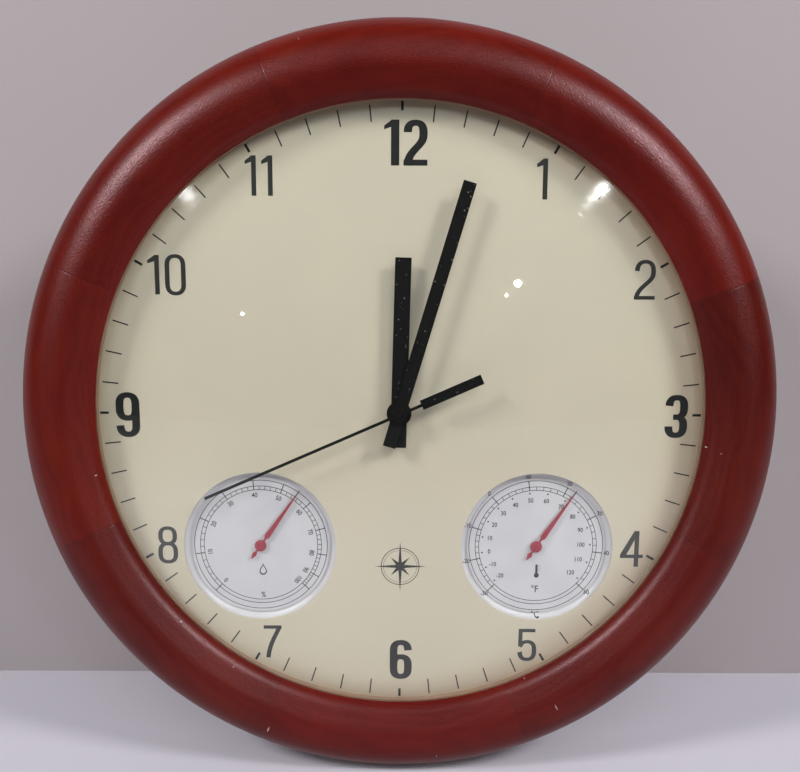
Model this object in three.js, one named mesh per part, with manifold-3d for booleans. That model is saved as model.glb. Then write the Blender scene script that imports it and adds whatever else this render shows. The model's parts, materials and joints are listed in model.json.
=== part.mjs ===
// Round wall clock with a turned wooden ring, a domed glass, three hands and two small instruments.
// Everything is modelled face on: x to the right, y up, z forward from the dial's printed face.
// The whole clock is then stood upright, so that +Z is twelve o'clock and the front looks along -Y.
import * as THREE from "three";
import { mergeVertices } from "three/addons/utils/BufferGeometryUtils.js";
import Module from "manifold-3d";

const wasm = await Module();
wasm.setup();

// Driving dimensions, in millimetres and degrees.

// Clearances.
const SEAT = 0.15; // between pieces that rest on each other
const RUN = 0.15; // round a turning or sliding piece
const DROP_IN = 0.5; // round the discs that drop into the ring
const HAND_GAP = 0.3; // between one hand and the next
const WALL_CLEARANCE = 1.45; // behind the push buttons

// Discs that stack up in the ring.
const STACK_RADIUS = 144.3;
const GLASS_THICKNESS = 1.6;
const GLASS_CLEARANCE = 0.5; // over the tips of the hands
const SPACER_WALL = 3.9;
const SPACER_HEIGHT = 2.2;
const DIAL_THICKNESS = 1;
const BOARD_THICKNESS = 3;

// Wooden ring round them, in widths of its section.
const LIP_OVERLAP = 4.7;
const LIP_THICKNESS = 1;
const LEDGE_WIDTH = 7.2;
const RING_WALL = 23;
const RING_CROWN_INSET = 17.35; // from the ring's edge
const RING_CROWN_HEIGHT = 14; // above the dial
const RING_BULGE_DEPTH = 5; // widest place, behind the dial
const RING_BACK_ROUND = 8;

// Retaining clips and their screws.
const CLIP_COUNT = 4;
const CLIP_WIDTH = 12;
const CLIP_LENGTH = 15.5;
const CLIP_THICKNESS = 0.8;
const CLIP_SCREW_RADIUS = 1.4;
const CLIP_SCREW_HEAD_RADIUS = 2.7;
const CLIP_SCREW_HEAD_HEIGHT = 1.6;
const CLIP_SCREW_DEPTH = 8.5;

// Keyhole hanger.
const HANGER_WIDTH = 36;
const HANGER_HEIGHT = 11;
const HANGER_THICKNESS = 1.2;
const KEYHOLE_RADIUS = 3.2;
const KEYHOLE_SLOT_RADIUS = 1.7;
const KEYHOLE_RUN = 3.9;
const KEYHOLE_POCKET_DEPTH = 5;
const HANGER_SCREW_INSET = 4.4; // from the plate's ends
const HANGER_SCREW_RADIUS = 1.2;
const HANGER_SCREW_HEAD_RADIUS = 2.5;
const HANGER_SCREW_LENGTH = 9;

// Hands.
const HAND_THICKNESS = 0.5;
const HAND_TAIL = 16;
const HOUR_HAND_LENGTH = 72;
const HOUR_HAND_WIDTH = 7.4;
const HOUR_HAND_ANGLE = 1.34;
const HOUR_BOSS_RADIUS = 5.75;
const MINUTE_HAND_LENGTH = 107;
const MINUTE_HAND_WIDTH = 5.5;
const MINUTE_HAND_ANGLE = 16.1;
const MINUTE_BOSS_RADIUS = 5.2;
const SECOND_HAND_LENGTH = 98;
const SECOND_HAND_WIDTH = 1.1;
const SECOND_HAND_ANGLE = 246.2;
const SECOND_BOSS_RADIUS = 3.6;
const COUNTERWEIGHT_START = 11.2;
const COUNTERWEIGHT_LENGTH = 30;
const COUNTERWEIGHT_WIDTH = 4.6;
const COLLET_WALL = 1.1;
const COLLET_LENGTH = 1.2;

// Movement case.
const CASE_WALL = 1;
const CASE_CORNER = 3;
const CHAMBER_TOP = 23.2;
const CHAMBER_BOTTOM = -17;
const COVER_THICKNESS = 1.2;
const COVER_RIM = 1.5;
const GASKET_THICKNESS = 0.5;
const GASKET_RADIUS = 9;
const BUSH_RADIUS = 3.5;
const BUSH_PROUD = 0.25; // of the nut
const NUT_RADIUS = 5;
const NUT_HEIGHT = 1.8;
const NUT_SLOT = 1.2;

// Battery and its contacts.
const BATTERY_RADIUS = 7;
const BATTERY_LENGTH = 49.3;
const BATTERY_BUTTON_RADIUS = 2.7;
const BATTERY_BUTTON_HEIGHT = 1.2;
const CONTACT_THICKNESS = 0.4;
const CONTACT_SIZE = 9;
const SPRING_LENGTH = 6.5;
const SPRING_WIRE_RADIUS = 0.35;
const SPRING_TURNS = 2.5;

// Going train: tooth counts and modules of each meshing pair.
const WHEEL_THICKNESS = 0.8;
const ADDENDUM = 0.9;
const DEDENDUM = 1.25;
const SECONDS_PINION_TEETH = 6;
const THIRD_WHEEL_TEETH = 45;
const THIRD_MODULE = 0.36;
const THIRD_PINION_TEETH = 6;
const MINUTE_WHEEL_TEETH = 48;
const CANNON_PINION_TEETH = 10;
const MOTION_WHEEL_TEETH = 30;
const MOTION_MODULE = 0.42;
const MOTION_PINION_TEETH = 8;
const HOUR_WHEEL_TEETH = 32;
const SECONDS_WHEEL_TEETH = 30;
const SECONDS_MODULE = 0.4;
const IDLER_PINION_TEETH = 6;
const IDLER_WHEEL_TEETH = 36;
const IDLER_MODULE = 0.33;
const ROTOR_PINION_TEETH = 6;
const THIRD_BEARING = 110;
const MOTION_BEARING = 200;
const IDLER_BEARING = -40;
const ROTOR_BEARING = -25;

// Arbors, from the middle outwards, and where the layers of the train lie.
const SECONDS_ARBOR_RADIUS = 0.5;
const MINUTE_ARBOR_RADIUS = 1.5;
const HOUR_PIPE_RADIUS = 2.5;
const PIVOT_RADIUS = 0.35;
const ARBOR_RADIUS = 0.45;
const LAYER_STEP = 1.8;
const TRAIN_FRONT_PLAY = 0.9;
const BRIDGE_THICKNESS = 0.9;
const BRIDGE_TOP = 12.2;
const BRIDGE_TO_FLOOR = 1.4; // from the chamber's lower wall
const PILLAR_RADIUS = 1.8;
const PILLAR_PIN_RADIUS = 0.8;
const POST_RADIUS = 1.2;
const BRIDGE_PLAY = 0.8;
const COVER_PLAY = 2.2;
const PIVOT_REACH = 1;
const BOSS_WALL = 0.8;

// Motor.
const MAGNET_RADIUS = 2.4;
const MAGNET_LENGTH = 1.8;
const STATOR_AIR_GAP = 0.5;
const STATOR_NECK = 1.5;
const STATOR_THICKNESS = 0.8;
const STATOR_LIMB = 3.4;
const STATOR_TOP = 4.5;
const STATOR_TO_FLOOR = 1; // from the chamber's lower wall
const CORE_X = 21.5;
const CORE_WIDTH = 2.4;
const CORE_THICKNESS = 1;
const COIL_RADIUS = 3;
const BOBBIN_RADIUS = 3.6;
const BOBBIN_FLANGE = 0.8;

// Radio and circuit board.
const ROD_RADIUS = 2;
const ROD_LENGTH = 50;
const AERIAL_COIL_RADIUS = 2.8;
const AERIAL_COIL_LENGTH = 16;
const AERIAL_COIL_X = 14;
const CIRCUIT_WIDTH = 12;
const CIRCUIT_THICKNESS = 1;
const CIRCUIT_TO_FLOOR = 2; // from the chamber's lower wall
const CIRCUIT_HEIGHT = 32.5;
const CHIP_Y = 4;
const CHIP_RADIUS = 3.6;
const CHIP_HEIGHT = 1;
const CRYSTAL_RADIUS = 1;
const CRYSTAL_LENGTH = 6;

// Push buttons on the back of the movement.
const BUTTON_RADIUS = 2;
const BUTTON_FLANGE = 0.9;
const BUTTON_TRAVEL = 0.8;
const BUTTON_PROUD = 1;
const BUTTON_PITCH = 10;
const BUTTON_MIDDLE_Y = 2;

// The two instruments.
const INSTRUMENT_BEARING = 44.63; // below the horizontal
const INSTRUMENT_SHIFT = 1.87; // inwards from half way between the movement and the dial's edge
const WINDOW_RADIUS = 36.2;
const HOUSING_FLANGE = 2.8; // behind the dial, round the window
const HOUSING_DEPTH = 14;
const HOUSING_WALL = 1.2;
const COVE_WIDTH = 2.6;
const FACE_DEPTH = 2.6; // printed face behind the dial's
const FACE_THICKNESS = 0.4;
const FLOOR_THICKNESS = 1.2;
const POINTER_THICKNESS = 0.3;
const POINTER_LIFT = 1; // above the printed face
const POINTER_TIP_GAP = 0.2; // to the foot of the cove
const POINTER_HUB_RADIUS = 2.8;
const POINTER_BASE_WIDTH = 2.6;
const POINTER_TIP_WIDTH = 0.3;
const POINTER_NECK_WIDTH = 1;
const POINTER_TAIL = 8;
const HUMIDITY_POINTER_ANGLE = 35;
const TEMPERATURE_POINTER_ANGLE = 34.2;
const SPINDLE_RADIUS = 0.6;
const COIL_TURNS = 3;
const BIMETAL_INNER_RADIUS = 2.6;
const BIMETAL_OUTER_RADIUS = 13;
const BIMETAL_THICKNESS = 0.5;
const BIMETAL_WIDTH = 4;
const BAR_WIDTH = 8;
const BAR_THICKNESS = 1.2;

// Facets round a full turn.
const RING_FACETS = 48;
const DISC_FACETS = 40;
const DISH_FACETS = 24;
const BOSS_FACETS = 14;
const PIN_FACETS = 8;

// Radii that follow from the stack's.
const rebateRadius = STACK_RADIUS + DROP_IN;
const lipRadius = STACK_RADIUS - LIP_OVERLAP;
const recessRadius = rebateRadius + LEDGE_WIDTH;
const ringRadius = recessRadius + RING_WALL;
const crownRadius = ringRadius - RING_CROWN_INSET;
const housingRadius = WINDOW_RADIUS + HOUSING_FLANGE;

// Stations along z, counted from the dial's face towards the wall.
const dialBack = -DIAL_THICKNESS;
const boardFront = dialBack - SEAT;
const boardBack = boardFront - BOARD_THICKNESS;
const gasketFront = boardBack - SEAT;
const caseFront = gasketFront - GASKET_THICKNESS - SEAT;
const caseInner = caseFront - CASE_WALL;
const spacerBack = SEAT;
const spacerFront = spacerBack + SPACER_HEIGHT;
const glassEdge = spacerFront + SEAT;

// Fronts of the nut's bush and of the hands, one over another.
const bushTop = SEAT + NUT_HEIGHT + BUSH_PROUD;
const handStep = HAND_GAP + COLLET_LENGTH + HAND_THICKNESS;
const hourHandFront = bushTop + handStep;
const minuteHandFront = hourHandFront + handStep;
const secondHandFront = minuteHandFront + handStep;
const glassRise = Math.max(
  riseOver(MINUTE_HAND_LENGTH, minuteHandFront),
  riseOver(SECOND_HAND_LENGTH, secondHandFront),
);

// Fronts of the wheels, one layer behind another, with the bridge plate between them.
const hourLayer = caseInner - TRAIN_FRONT_PLAY;
const motionLayer = hourLayer - LAYER_STEP;
const minuteLayer = motionLayer - LAYER_STEP;
const thirdLayer = minuteLayer - LAYER_STEP;
const bridgeFront = thirdLayer - WHEEL_THICKNESS - BRIDGE_PLAY;
const bridgeBack = bridgeFront - BRIDGE_THICKNESS;
const secondsLayer = bridgeBack - BRIDGE_PLAY;
const idlerLayer = secondsLayer - LAYER_STEP;
const coverInner = idlerLayer - WHEEL_THICKNESS - COVER_PLAY;
const coverOuter = coverInner - COVER_THICKNESS;
const wallPlane = coverOuter - BUTTON_PROUD - WALL_CLEARANCE;

// Centre distances and places of the arbors.
const thirdDistance = ((SECONDS_PINION_TEETH + THIRD_WHEEL_TEETH) * THIRD_MODULE) / 2;
const minuteModule = (2 * thirdDistance) / (THIRD_PINION_TEETH + MINUTE_WHEEL_TEETH);
const motionDistance = ((CANNON_PINION_TEETH + MOTION_WHEEL_TEETH) * MOTION_MODULE) / 2;
const hourModule = (2 * motionDistance) / (MOTION_PINION_TEETH + HOUR_WHEEL_TEETH);
const idlerDistance = ((SECONDS_WHEEL_TEETH + IDLER_PINION_TEETH) * SECONDS_MODULE) / 2;
const rotorDistance = ((IDLER_WHEEL_TEETH + ROTOR_PINION_TEETH) * IDLER_MODULE) / 2;
const shaft = new THREE.Vector2(0, 0);
const third = placeFrom(shaft, thirdDistance, THIRD_BEARING);
const motion = placeFrom(shaft, motionDistance, MOTION_BEARING);
const idler = placeFrom(shaft, idlerDistance, IDLER_BEARING);
const rotor = placeFrom(idler, rotorDistance, ROTOR_BEARING);

// Finishes.
const stainedWood = finish(0x6e2019, 0.35, 0);
const clearGlass = new THREE.MeshStandardMaterial({
  color: 0xeef2f2,
  roughness: 0.05,
  metalness: 0,
  transparent: true,
  opacity: 0.25,
});
const creamPlastic = finish(0xd8cfae, 0.5, 0);
const creamDial = finish(0xddd6b8, 0.45, 0);
const hardboard = finish(0x7a5c3e, 0.9, 0);
const zincSteel = finish(0xb4b6b8, 0.4, 1);
const blackPaint = finish(0x111111, 0.6, 0);
const blackPlastic = finish(0x1c1c1e, 0.55, 0);
const greyPlastic = finish(0x8d9093, 0.5, 0);
const whitePlastic = finish(0xdedce0, 0.45, 0);
const gearPlastic = finish(0xe6e2d4, 0.5, 0);
const brassMetal = finish(0xb08d4a, 0.35, 1);
const copperWire = finish(0xa5562b, 0.4, 1);
const magnetIron = finish(0x4a4b50, 0.5, 1);
const ferrite = finish(0x2b2b2e, 0.7, 0);
const circuitGreen = finish(0x1f5a35, 0.5, 0);
const gasketRubber = finish(0x222222, 0.9, 0);
const batterySleeve = finish(0x3b4a5a, 0.35, 0);
const pointerRed = finish(0xa01f2b, 0.45, 0);
const printedWhite = finish(0xe4e1e6, 0.5, 0);

function finish(color, roughness, metalness) {
  return new THREE.MeshStandardMaterial({ color, roughness, metalness });
}

function radians(degrees) {
  return THREE.MathUtils.degToRad(degrees);
}

function placeFrom(origin, distance, bearing) {
  const angle = radians(bearing);
  return new THREE.Vector2(
    origin.x + distance * Math.cos(angle),
    origin.y + distance * Math.sin(angle),
  );
}

// Rise that a dome needs to pass over a hand's tip.
function riseOver(length, height) {
  return (height + GLASS_CLEARANCE - glassEdge) / (1 - (length / STACK_RADIUS) ** 2);
}

function bearingBetween(from, to) {
  return Math.atan2(to.y - from.y, to.x - from.x);
}

// Joining and cutting of closed shapes.

function toSolid(geometry) {
  const bare = new THREE.BufferGeometry();
  bare.setAttribute("position", geometry.getAttribute("position"));
  if (geometry.index) bare.setIndex(geometry.index);
  const merged = mergeVertices(bare, 1e-4);
  return new wasm.Manifold(
    new wasm.Mesh({
      numProp: 3,
      vertProperties: merged.getAttribute("position").array,
      triVerts: new Uint32Array(merged.index.array),
    }),
  );
}

function toGeometry(solid) {
  const mesh = solid.getMesh();
  const geometry = new THREE.BufferGeometry();
  geometry.setAttribute("position", new THREE.BufferAttribute(mesh.vertProperties, 3));
  geometry.setIndex(new THREE.BufferAttribute(mesh.triVerts, 1));
  geometry.computeVertexNormals();
  return geometry;
}

function join(...pieces) {
  return toGeometry(pieces.map(toSolid).reduce((whole, piece) => whole.add(piece)));
}

function cut(body, ...tools) {
  const removed = tools.map(toSolid).reduce((whole, tool) => whole.add(tool));
  return toGeometry(toSolid(body).subtract(removed));
}

// Outlines, as closed lists of points.

function circle(radius, facets, centre = shaft) {
  return arc(centre.x, centre.y, radius, radius, 0, 360 - 360 / facets, facets - 1);
}

function arc(x, y, radiusX, radiusY, startAngle, endAngle, steps) {
  const points = [];
  for (let i = 0; i <= steps; i += 1) {
    const angle = radians(startAngle + ((endAngle - startAngle) * i) / steps);
    points.push(new THREE.Vector2(x + radiusX * Math.cos(angle), y + radiusY * Math.sin(angle)));
  }
  return points;
}

function rectangle(left, bottom, right, top) {
  return [
    new THREE.Vector2(left, bottom),
    new THREE.Vector2(right, bottom),
    new THREE.Vector2(right, top),
    new THREE.Vector2(left, top),
  ];
}

function roundedRectangle(left, bottom, right, top, round, steps = 3) {
  return [
    ...arc(right - round, top - round, round, round, 0, 90, steps),
    ...arc(left + round, top - round, round, round, 90, 180, steps),
    ...arc(left + round, bottom + round, round, round, 180, 270, steps),
    ...arc(right - round, bottom + round, round, round, 270, 360, steps),
  ];
}

// Solids. Each lies between two stations along z, the back one first.

function plate(outline, back, front, holes = []) {
  const shape = new THREE.Shape(outline);
  shape.holes = holes.map((hole) => new THREE.Path(hole));
  const geometry = new THREE.ExtrudeGeometry(shape, { depth: front - back, bevelEnabled: false });
  return geometry.translate(0, 0, back);
}

function disc(radius, back, front, facets, centre = shaft) {
  return plate(circle(radius, facets, centre), back, front);
}

function tube(radius, bore, back, front, facets, centre = shaft) {
  return plate(circle(radius, facets, centre), back, front, [circle(bore, facets, centre)]);
}

// A profile of radius and height turned about the z axis. It closes on itself or ends on the axis.
function turned(profile, facets) {
  const points = THREE.ShapeUtils.area(profile) < 0 ? [...profile].reverse() : [...profile];
  const onAxis = points.filter((point) => point.x === 0).length > 0;
  while (onAxis && !(points[0].x === 0 && points[points.length - 1].x === 0)) {
    points.push(points.shift());
  }
  if (!onAxis) points.push(points[0].clone());
  return new THREE.LatheGeometry(points, facets).rotateX(Math.PI / 2);
}

function station(radius, height) {
  return new THREE.Vector2(radius, height);
}

function rodAlongX(radius, left, right, facets, y, z) {
  const geometry = new THREE.CylinderGeometry(radius, radius, right - left, facets);
  return geometry.rotateZ(Math.PI / 2).translate((left + right) / 2, y, z);
}

function mesh(name, geometry, material) {
  const piece = new THREE.Mesh(geometry, material);
  piece.name = name;
  return piece;
}

// Height of the glass at a distance from the middle, on its inner face.
function glassBackAt(radius) {
  const sphere = (STACK_RADIUS ** 2 + glassRise ** 2) / (2 * glassRise);
  return glassEdge + Math.sqrt(sphere ** 2 - radius ** 2) - Math.sqrt(sphere ** 2 - STACK_RADIUS ** 2);
}

function glassFrontAt(radius) {
  return glassBackAt(radius) + GLASS_THICKNESS;
}

// Wooden ring: a domed front, a bulging side, a recessed back and a lip over the glass.
function frameRing() {
  const lipBack = glassFrontAt(lipRadius) + SEAT;
  const lipFront = lipBack + LIP_THICKNESS;
  const innerReach = crownRadius - lipRadius;
  const innerRise = RING_CROWN_HEIGHT - lipFront;
  const outerRise = RING_CROWN_HEIGHT + RING_BULGE_DEPTH;
  const backRise = -wallPlane - RING_BULGE_DEPTH;
  const profile = [
    station(lipRadius, lipBack),
    ...arc(crownRadius, lipFront, innerReach, innerRise, 180, 115, 3),
    ...arc(crownRadius, -RING_BULGE_DEPTH, RING_CROWN_INSET, outerRise, 90, 0, 5),
    ...arc(ringRadius - RING_BACK_ROUND, -RING_BULGE_DEPTH, RING_BACK_ROUND, backRise, -30, -90, 2),
    station(recessRadius, wallPlane),
    station(recessRadius, boardBack),
    station(rebateRadius, boardBack),
    station(rebateRadius, glassFrontAt(STACK_RADIUS) + SEAT),
  ];
  const clipHoles = clipPlaces().map((place) =>
    disc(CLIP_SCREW_RADIUS + RUN, boardBack - 1, boardBack + CLIP_SCREW_DEPTH, PIN_FACETS, place),
  );
  const hangerHoles = hangerScrewPlaces().map((place) =>
    disc(
      HANGER_SCREW_RADIUS + RUN,
      wallPlane - 1,
      wallPlane + HANGER_SCREW_LENGTH + SEAT,
      PIN_FACETS,
      place,
    ),
  );
  const floor = wallPlane + HANGER_THICKNESS + SEAT;
  return cut(
    turned(profile, RING_FACETS),
    ...clipHoles,
    ...hangerHoles,
    plate(hangerOutline(2 * RUN), wallPlane - 1, floor),
    plate(keyholePocket(), wallPlane - 1, floor + KEYHOLE_POCKET_DEPTH),
  );
}

function dialGlass() {
  const rings = [0, 0.4, 0.72, 1].map((share) => share * STACK_RADIUS);
  const inner = rings.map((radius) => station(radius, glassBackAt(radius)));
  const outer = rings.map((radius) => station(radius, glassFrontAt(radius)));
  return turned([...inner, ...outer.reverse()], DISC_FACETS);
}

function spacerRing() {
  return tube(STACK_RADIUS, STACK_RADIUS - SPACER_WALL, spacerBack, spacerFront, DISC_FACETS);
}

function instrumentCentres() {
  const caseCorner = Math.hypot(caseHalf, bayBottom - CASE_WALL);
  const distance = (caseCorner + STACK_RADIUS) / 2 - INSTRUMENT_SHIFT;
  const bearings = [180 + INSTRUMENT_BEARING, -INSTRUMENT_BEARING];
  return bearings.map((bearing) => placeFrom(shaft, distance, bearing));
}

function dialPlate() {
  const windows = instrumentCentres().map((centre) => circle(WINDOW_RADIUS, DISH_FACETS, centre));
  const shaftHole = circle(BUSH_RADIUS + 2 * RUN, BOSS_FACETS);
  return plate(circle(STACK_RADIUS, DISC_FACETS), dialBack, 0, [...windows, shaftHole]);
}

function backingBoard() {
  const openings = instrumentCentres().map((centre) =>
    circle(housingRadius + 2 * RUN, DISH_FACETS, centre),
  );
  const shaftHole = circle(BUSH_RADIUS + 2 * RUN, BOSS_FACETS);
  return plate(circle(STACK_RADIUS, DISC_FACETS), boardBack, boardFront, [...openings, shaftHole]);
}

// Retaining clips: flat strips that lie half on the ring's ledge and half on the backing board.

function clipPlaces() {
  const radius = (rebateRadius + recessRadius) / 2;
  const places = [];
  for (let i = 0; i < CLIP_COUNT; i += 1) {
    places.push(placeFrom(shaft, radius, (360 * i) / CLIP_COUNT));
  }
  return places;
}

function retainerClip(place) {
  const half = CLIP_WIDTH / 2;
  const outerEnd = LEDGE_WIDTH / 2 - 0.8;
  const outline = roundedRectangle(outerEnd - CLIP_LENGTH, -half, outerEnd, half, 1.5, 1);
  const hole = circle(CLIP_SCREW_RADIUS + RUN, PIN_FACETS);
  const front = boardBack - SEAT;
  const strip = plate(outline, front - CLIP_THICKNESS, front, [hole]);
  return strip.rotateZ(bearingBetween(shaft, place)).translate(place.x, place.y, 0);
}

function retainerScrew(place) {
  const seat = boardBack - 2 * SEAT - CLIP_THICKNESS;
  const tip = boardBack + CLIP_SCREW_DEPTH - SEAT;
  const profile = [
    station(0, tip),
    station(CLIP_SCREW_RADIUS, tip - CLIP_SCREW_RADIUS),
    station(CLIP_SCREW_RADIUS, seat),
    station(CLIP_SCREW_HEAD_RADIUS, seat),
    station(CLIP_SCREW_HEAD_RADIUS * 0.85, seat - CLIP_SCREW_HEAD_HEIGHT * 0.8),
    station(0, seat - CLIP_SCREW_HEAD_HEIGHT),
  ];
  return turned(profile, PIN_FACETS).translate(place.x, place.y, 0);
}

// Keyhole hanger, let flush into the top of the ring's back.

function hangerMiddle() {
  return (recessRadius + ringRadius - RING_BACK_ROUND) / 2 - 0.3;
}

function hangerOutline(grow) {
  const half = HANGER_HEIGHT / 2 + grow;
  const side = HANGER_WIDTH / 2 + grow;
  return roundedRectangle(-side, hangerMiddle() - half, side, hangerMiddle() + half, 1.5 + grow, 2);
}

function keyholeOutline() {
  const holeY = hangerMiddle() - KEYHOLE_RUN / 3;
  const meet = THREE.MathUtils.radToDeg(Math.asin(KEYHOLE_SLOT_RADIUS / KEYHOLE_RADIUS));
  return [
    ...arc(0, holeY, KEYHOLE_RADIUS, KEYHOLE_RADIUS, 90 + meet, 450 - meet, 10),
    ...arc(0, holeY + KEYHOLE_RUN, KEYHOLE_SLOT_RADIUS, KEYHOLE_SLOT_RADIUS, 0, 180, 4),
  ];
}

function keyholePocket() {
  const holeY = hangerMiddle() - KEYHOLE_RUN / 3;
  const side = KEYHOLE_RADIUS + 1;
  return roundedRectangle(-side, holeY - KEYHOLE_RADIUS, side, holeY + KEYHOLE_RUN + KEYHOLE_RADIUS, 1, 2);
}

function hangerScrewPlaces() {
  const half = HANGER_WIDTH / 2 - HANGER_SCREW_INSET;
  return [-half, half].map((x) => new THREE.Vector2(x, hangerMiddle()));
}

// Countersunk screw, or with grow the seat that it leaves in the plate.
function hangerScrew(place, grow) {
  const head = wallPlane + SEAT - grow;
  const neck = head + HANGER_SCREW_HEAD_RADIUS - HANGER_SCREW_RADIUS;
  const profile = [
    station(0, head),
    station(HANGER_SCREW_HEAD_RADIUS + grow, head),
    station(HANGER_SCREW_RADIUS + grow, neck),
    station(HANGER_SCREW_RADIUS + grow, wallPlane + HANGER_SCREW_LENGTH - 1),
    station(0, wallPlane + HANGER_SCREW_LENGTH),
  ];
  return turned(profile, PIN_FACETS).translate(place.x, place.y, 0);
}

function hangerPlate() {
  const body = plate(hangerOutline(0), wallPlane, wallPlane + HANGER_THICKNESS, [keyholeOutline()]);
  return cut(body, ...hangerScrewPlaces().map((place) => hangerScrew(place, SEAT)));
}

// Toothed wheels. Each tooth has a root and a tip point on either side.

function toothedOutline(teeth, module, phase, centre) {
  const halfPitch = Math.PI / teeth;
  const pitchRadius = (teeth * module) / 2;
  const pinion = teeth < 12;
  const side = [
    [pinion ? 0.5 : 0.62, pitchRadius - DEDENDUM * module],
    [pinion ? 0.26 : 0.22, pitchRadius + ADDENDUM * module],
  ];
  const points = [];
  for (let i = 0; i < teeth; i += 1) {
    const middle = phase + 2 * halfPitch * i;
    for (const [share, radius] of side) {
      points.push(onCircle(centre, radius, middle - share * halfPitch));
    }
    for (const [share, radius] of [...side].reverse()) {
      points.push(onCircle(centre, radius, middle + share * halfPitch));
    }
  }
  return points;
}

function onCircle(centre, radius, angle) {
  return new THREE.Vector2(centre.x + radius * Math.cos(angle), centre.y + radius * Math.sin(angle));
}

// Phase that puts a follower's gap on the driver's tooth; the bearing runs from driver to follower.
function meshingPhase(driverPhase, driverTeeth, followerTeeth, bearing) {
  const offset = ((bearing - driverPhase) * driverTeeth) / followerTeeth;
  return bearing + Math.PI + offset + Math.PI / followerTeeth;
}

function toothed(teeth, module, phase, back, front, centre = shaft) {
  return plate(toothedOutline(teeth, module, phase, centre), back, front);
}

function wheelAt(layer, teeth, module, phase, centre = shaft) {
  return toothed(teeth, module, phase, layer - WHEEL_THICKNESS, layer, centre);
}

// Hour wheel and the pipe that carries the hour hand.
function hourWheel() {
  const phase = meshingPhase(0, MOTION_PINION_TEETH, HOUR_WHEEL_TEETH, bearingBetween(motion, shaft));
  const body = join(
    wheelAt(hourLayer, HOUR_WHEEL_TEETH, hourModule, phase),
    disc(HOUR_PIPE_RADIUS, hourLayer - WHEEL_THICKNESS, hourHandFront, BOSS_FACETS),
  );
  return cut(body, disc(MINUTE_ARBOR_RADIUS + RUN, coverOuter, RING_CROWN_HEIGHT, BOSS_FACETS));
}

// Motion wheel and pinion, which turn on a post of the case.
function motionWheel() {
  const phase = meshingPhase(0, CANNON_PINION_TEETH, MOTION_WHEEL_TEETH, bearingBetween(shaft, motion));
  const body = join(
    wheelAt(motionLayer, MOTION_WHEEL_TEETH, MOTION_MODULE, phase, motion),
    toothed(
      MOTION_PINION_TEETH,
      hourModule,
      0,
      motionLayer - WHEEL_THICKNESS / 2,
      hourLayer + RUN,
      motion,
    ),
  );
  return cut(body, disc(ARBOR_RADIUS + 2 * RUN, coverOuter, caseInner, PIN_FACETS, motion));
}

// Minute wheel with its cannon pinion and the tube that carries the minute hand.
function minuteWheel() {
  const phase = meshingPhase(0, THIRD_PINION_TEETH, MINUTE_WHEEL_TEETH, bearingBetween(third, shaft));
  const body = join(
    wheelAt(minuteLayer, MINUTE_WHEEL_TEETH, minuteModule, phase),
    toothed(CANNON_PINION_TEETH, MOTION_MODULE, 0, minuteLayer - WHEEL_THICKNESS / 2, motionLayer + RUN),
    disc(MINUTE_ARBOR_RADIUS, minuteLayer - WHEEL_THICKNESS - RUN, minuteHandFront, BOSS_FACETS),
  );
  return cut(body, disc(SECONDS_ARBOR_RADIUS + RUN, coverOuter, RING_CROWN_HEIGHT, PIN_FACETS));
}

function thirdWheel() {
  const phase = meshingPhase(0, SECONDS_PINION_TEETH, THIRD_WHEEL_TEETH, bearingBetween(shaft, third));
  return join(
    wheelAt(thirdLayer, THIRD_WHEEL_TEETH, THIRD_MODULE, phase, third),
    toothed(
      THIRD_PINION_TEETH,
      minuteModule,
      0,
      thirdLayer - WHEEL_THICKNESS / 2,
      minuteLayer + RUN,
      third,
    ),
    disc(PIVOT_RADIUS, bridgeFront - PIVOT_REACH + RUN, minuteLayer + PIVOT_REACH, PIN_FACETS, third),
  );
}

// Seconds wheel, its pinion and the long arbor that carries the second hand.
function secondsWheel() {
  return join(
    wheelAt(secondsLayer, SECONDS_WHEEL_TEETH, SECONDS_MODULE, 0),
    toothed(
      SECONDS_PINION_TEETH,
      THIRD_MODULE,
      0,
      thirdLayer - WHEEL_THICKNESS - RUN,
      thirdLayer + RUN,
    ),
    disc(SECONDS_ARBOR_RADIUS, coverInner + PIVOT_REACH, secondHandFront, PIN_FACETS),
  );
}

function idlerWheel() {
  const phase = meshingPhase(0, SECONDS_WHEEL_TEETH, IDLER_PINION_TEETH, bearingBetween(shaft, idler));
  return join(
    wheelAt(idlerLayer, IDLER_WHEEL_TEETH, IDLER_MODULE, 0, idler),
    toothed(
      IDLER_PINION_TEETH,
      SECONDS_MODULE,
      phase,
      idlerLayer - WHEEL_THICKNESS / 2,
      secondsLayer + RUN,
      idler,
    ),
    disc(PIVOT_RADIUS, coverInner + PIVOT_REACH, bridgeBack + BRIDGE_THICKNESS / 2, PIN_FACETS, idler),
  );
}

// Rotor: a disc magnet in the stator's hole, with a pinion behind it.
function motorRotor() {
  const phase = meshingPhase(0, IDLER_WHEEL_TEETH, ROTOR_PINION_TEETH, bearingBetween(idler, rotor));
  const magnetBack = idlerLayer + 2 * RUN;
  return join(
    toothed(
      ROTOR_PINION_TEETH,
      IDLER_MODULE,
      phase,
      idlerLayer - WHEEL_THICKNESS - RUN,
      magnetBack + RUN,
      rotor,
    ),
    disc(MAGNET_RADIUS, magnetBack, magnetBack + MAGNET_LENGTH, BOSS_FACETS, rotor),
    disc(PIVOT_RADIUS, coverInner + PIVOT_REACH, bridgeBack + BRIDGE_THICKNESS / 2, PIN_FACETS, rotor),
  );
}

// Bridge plate between the front and the back half of the train. Its pillars clear the third wheel.

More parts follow.
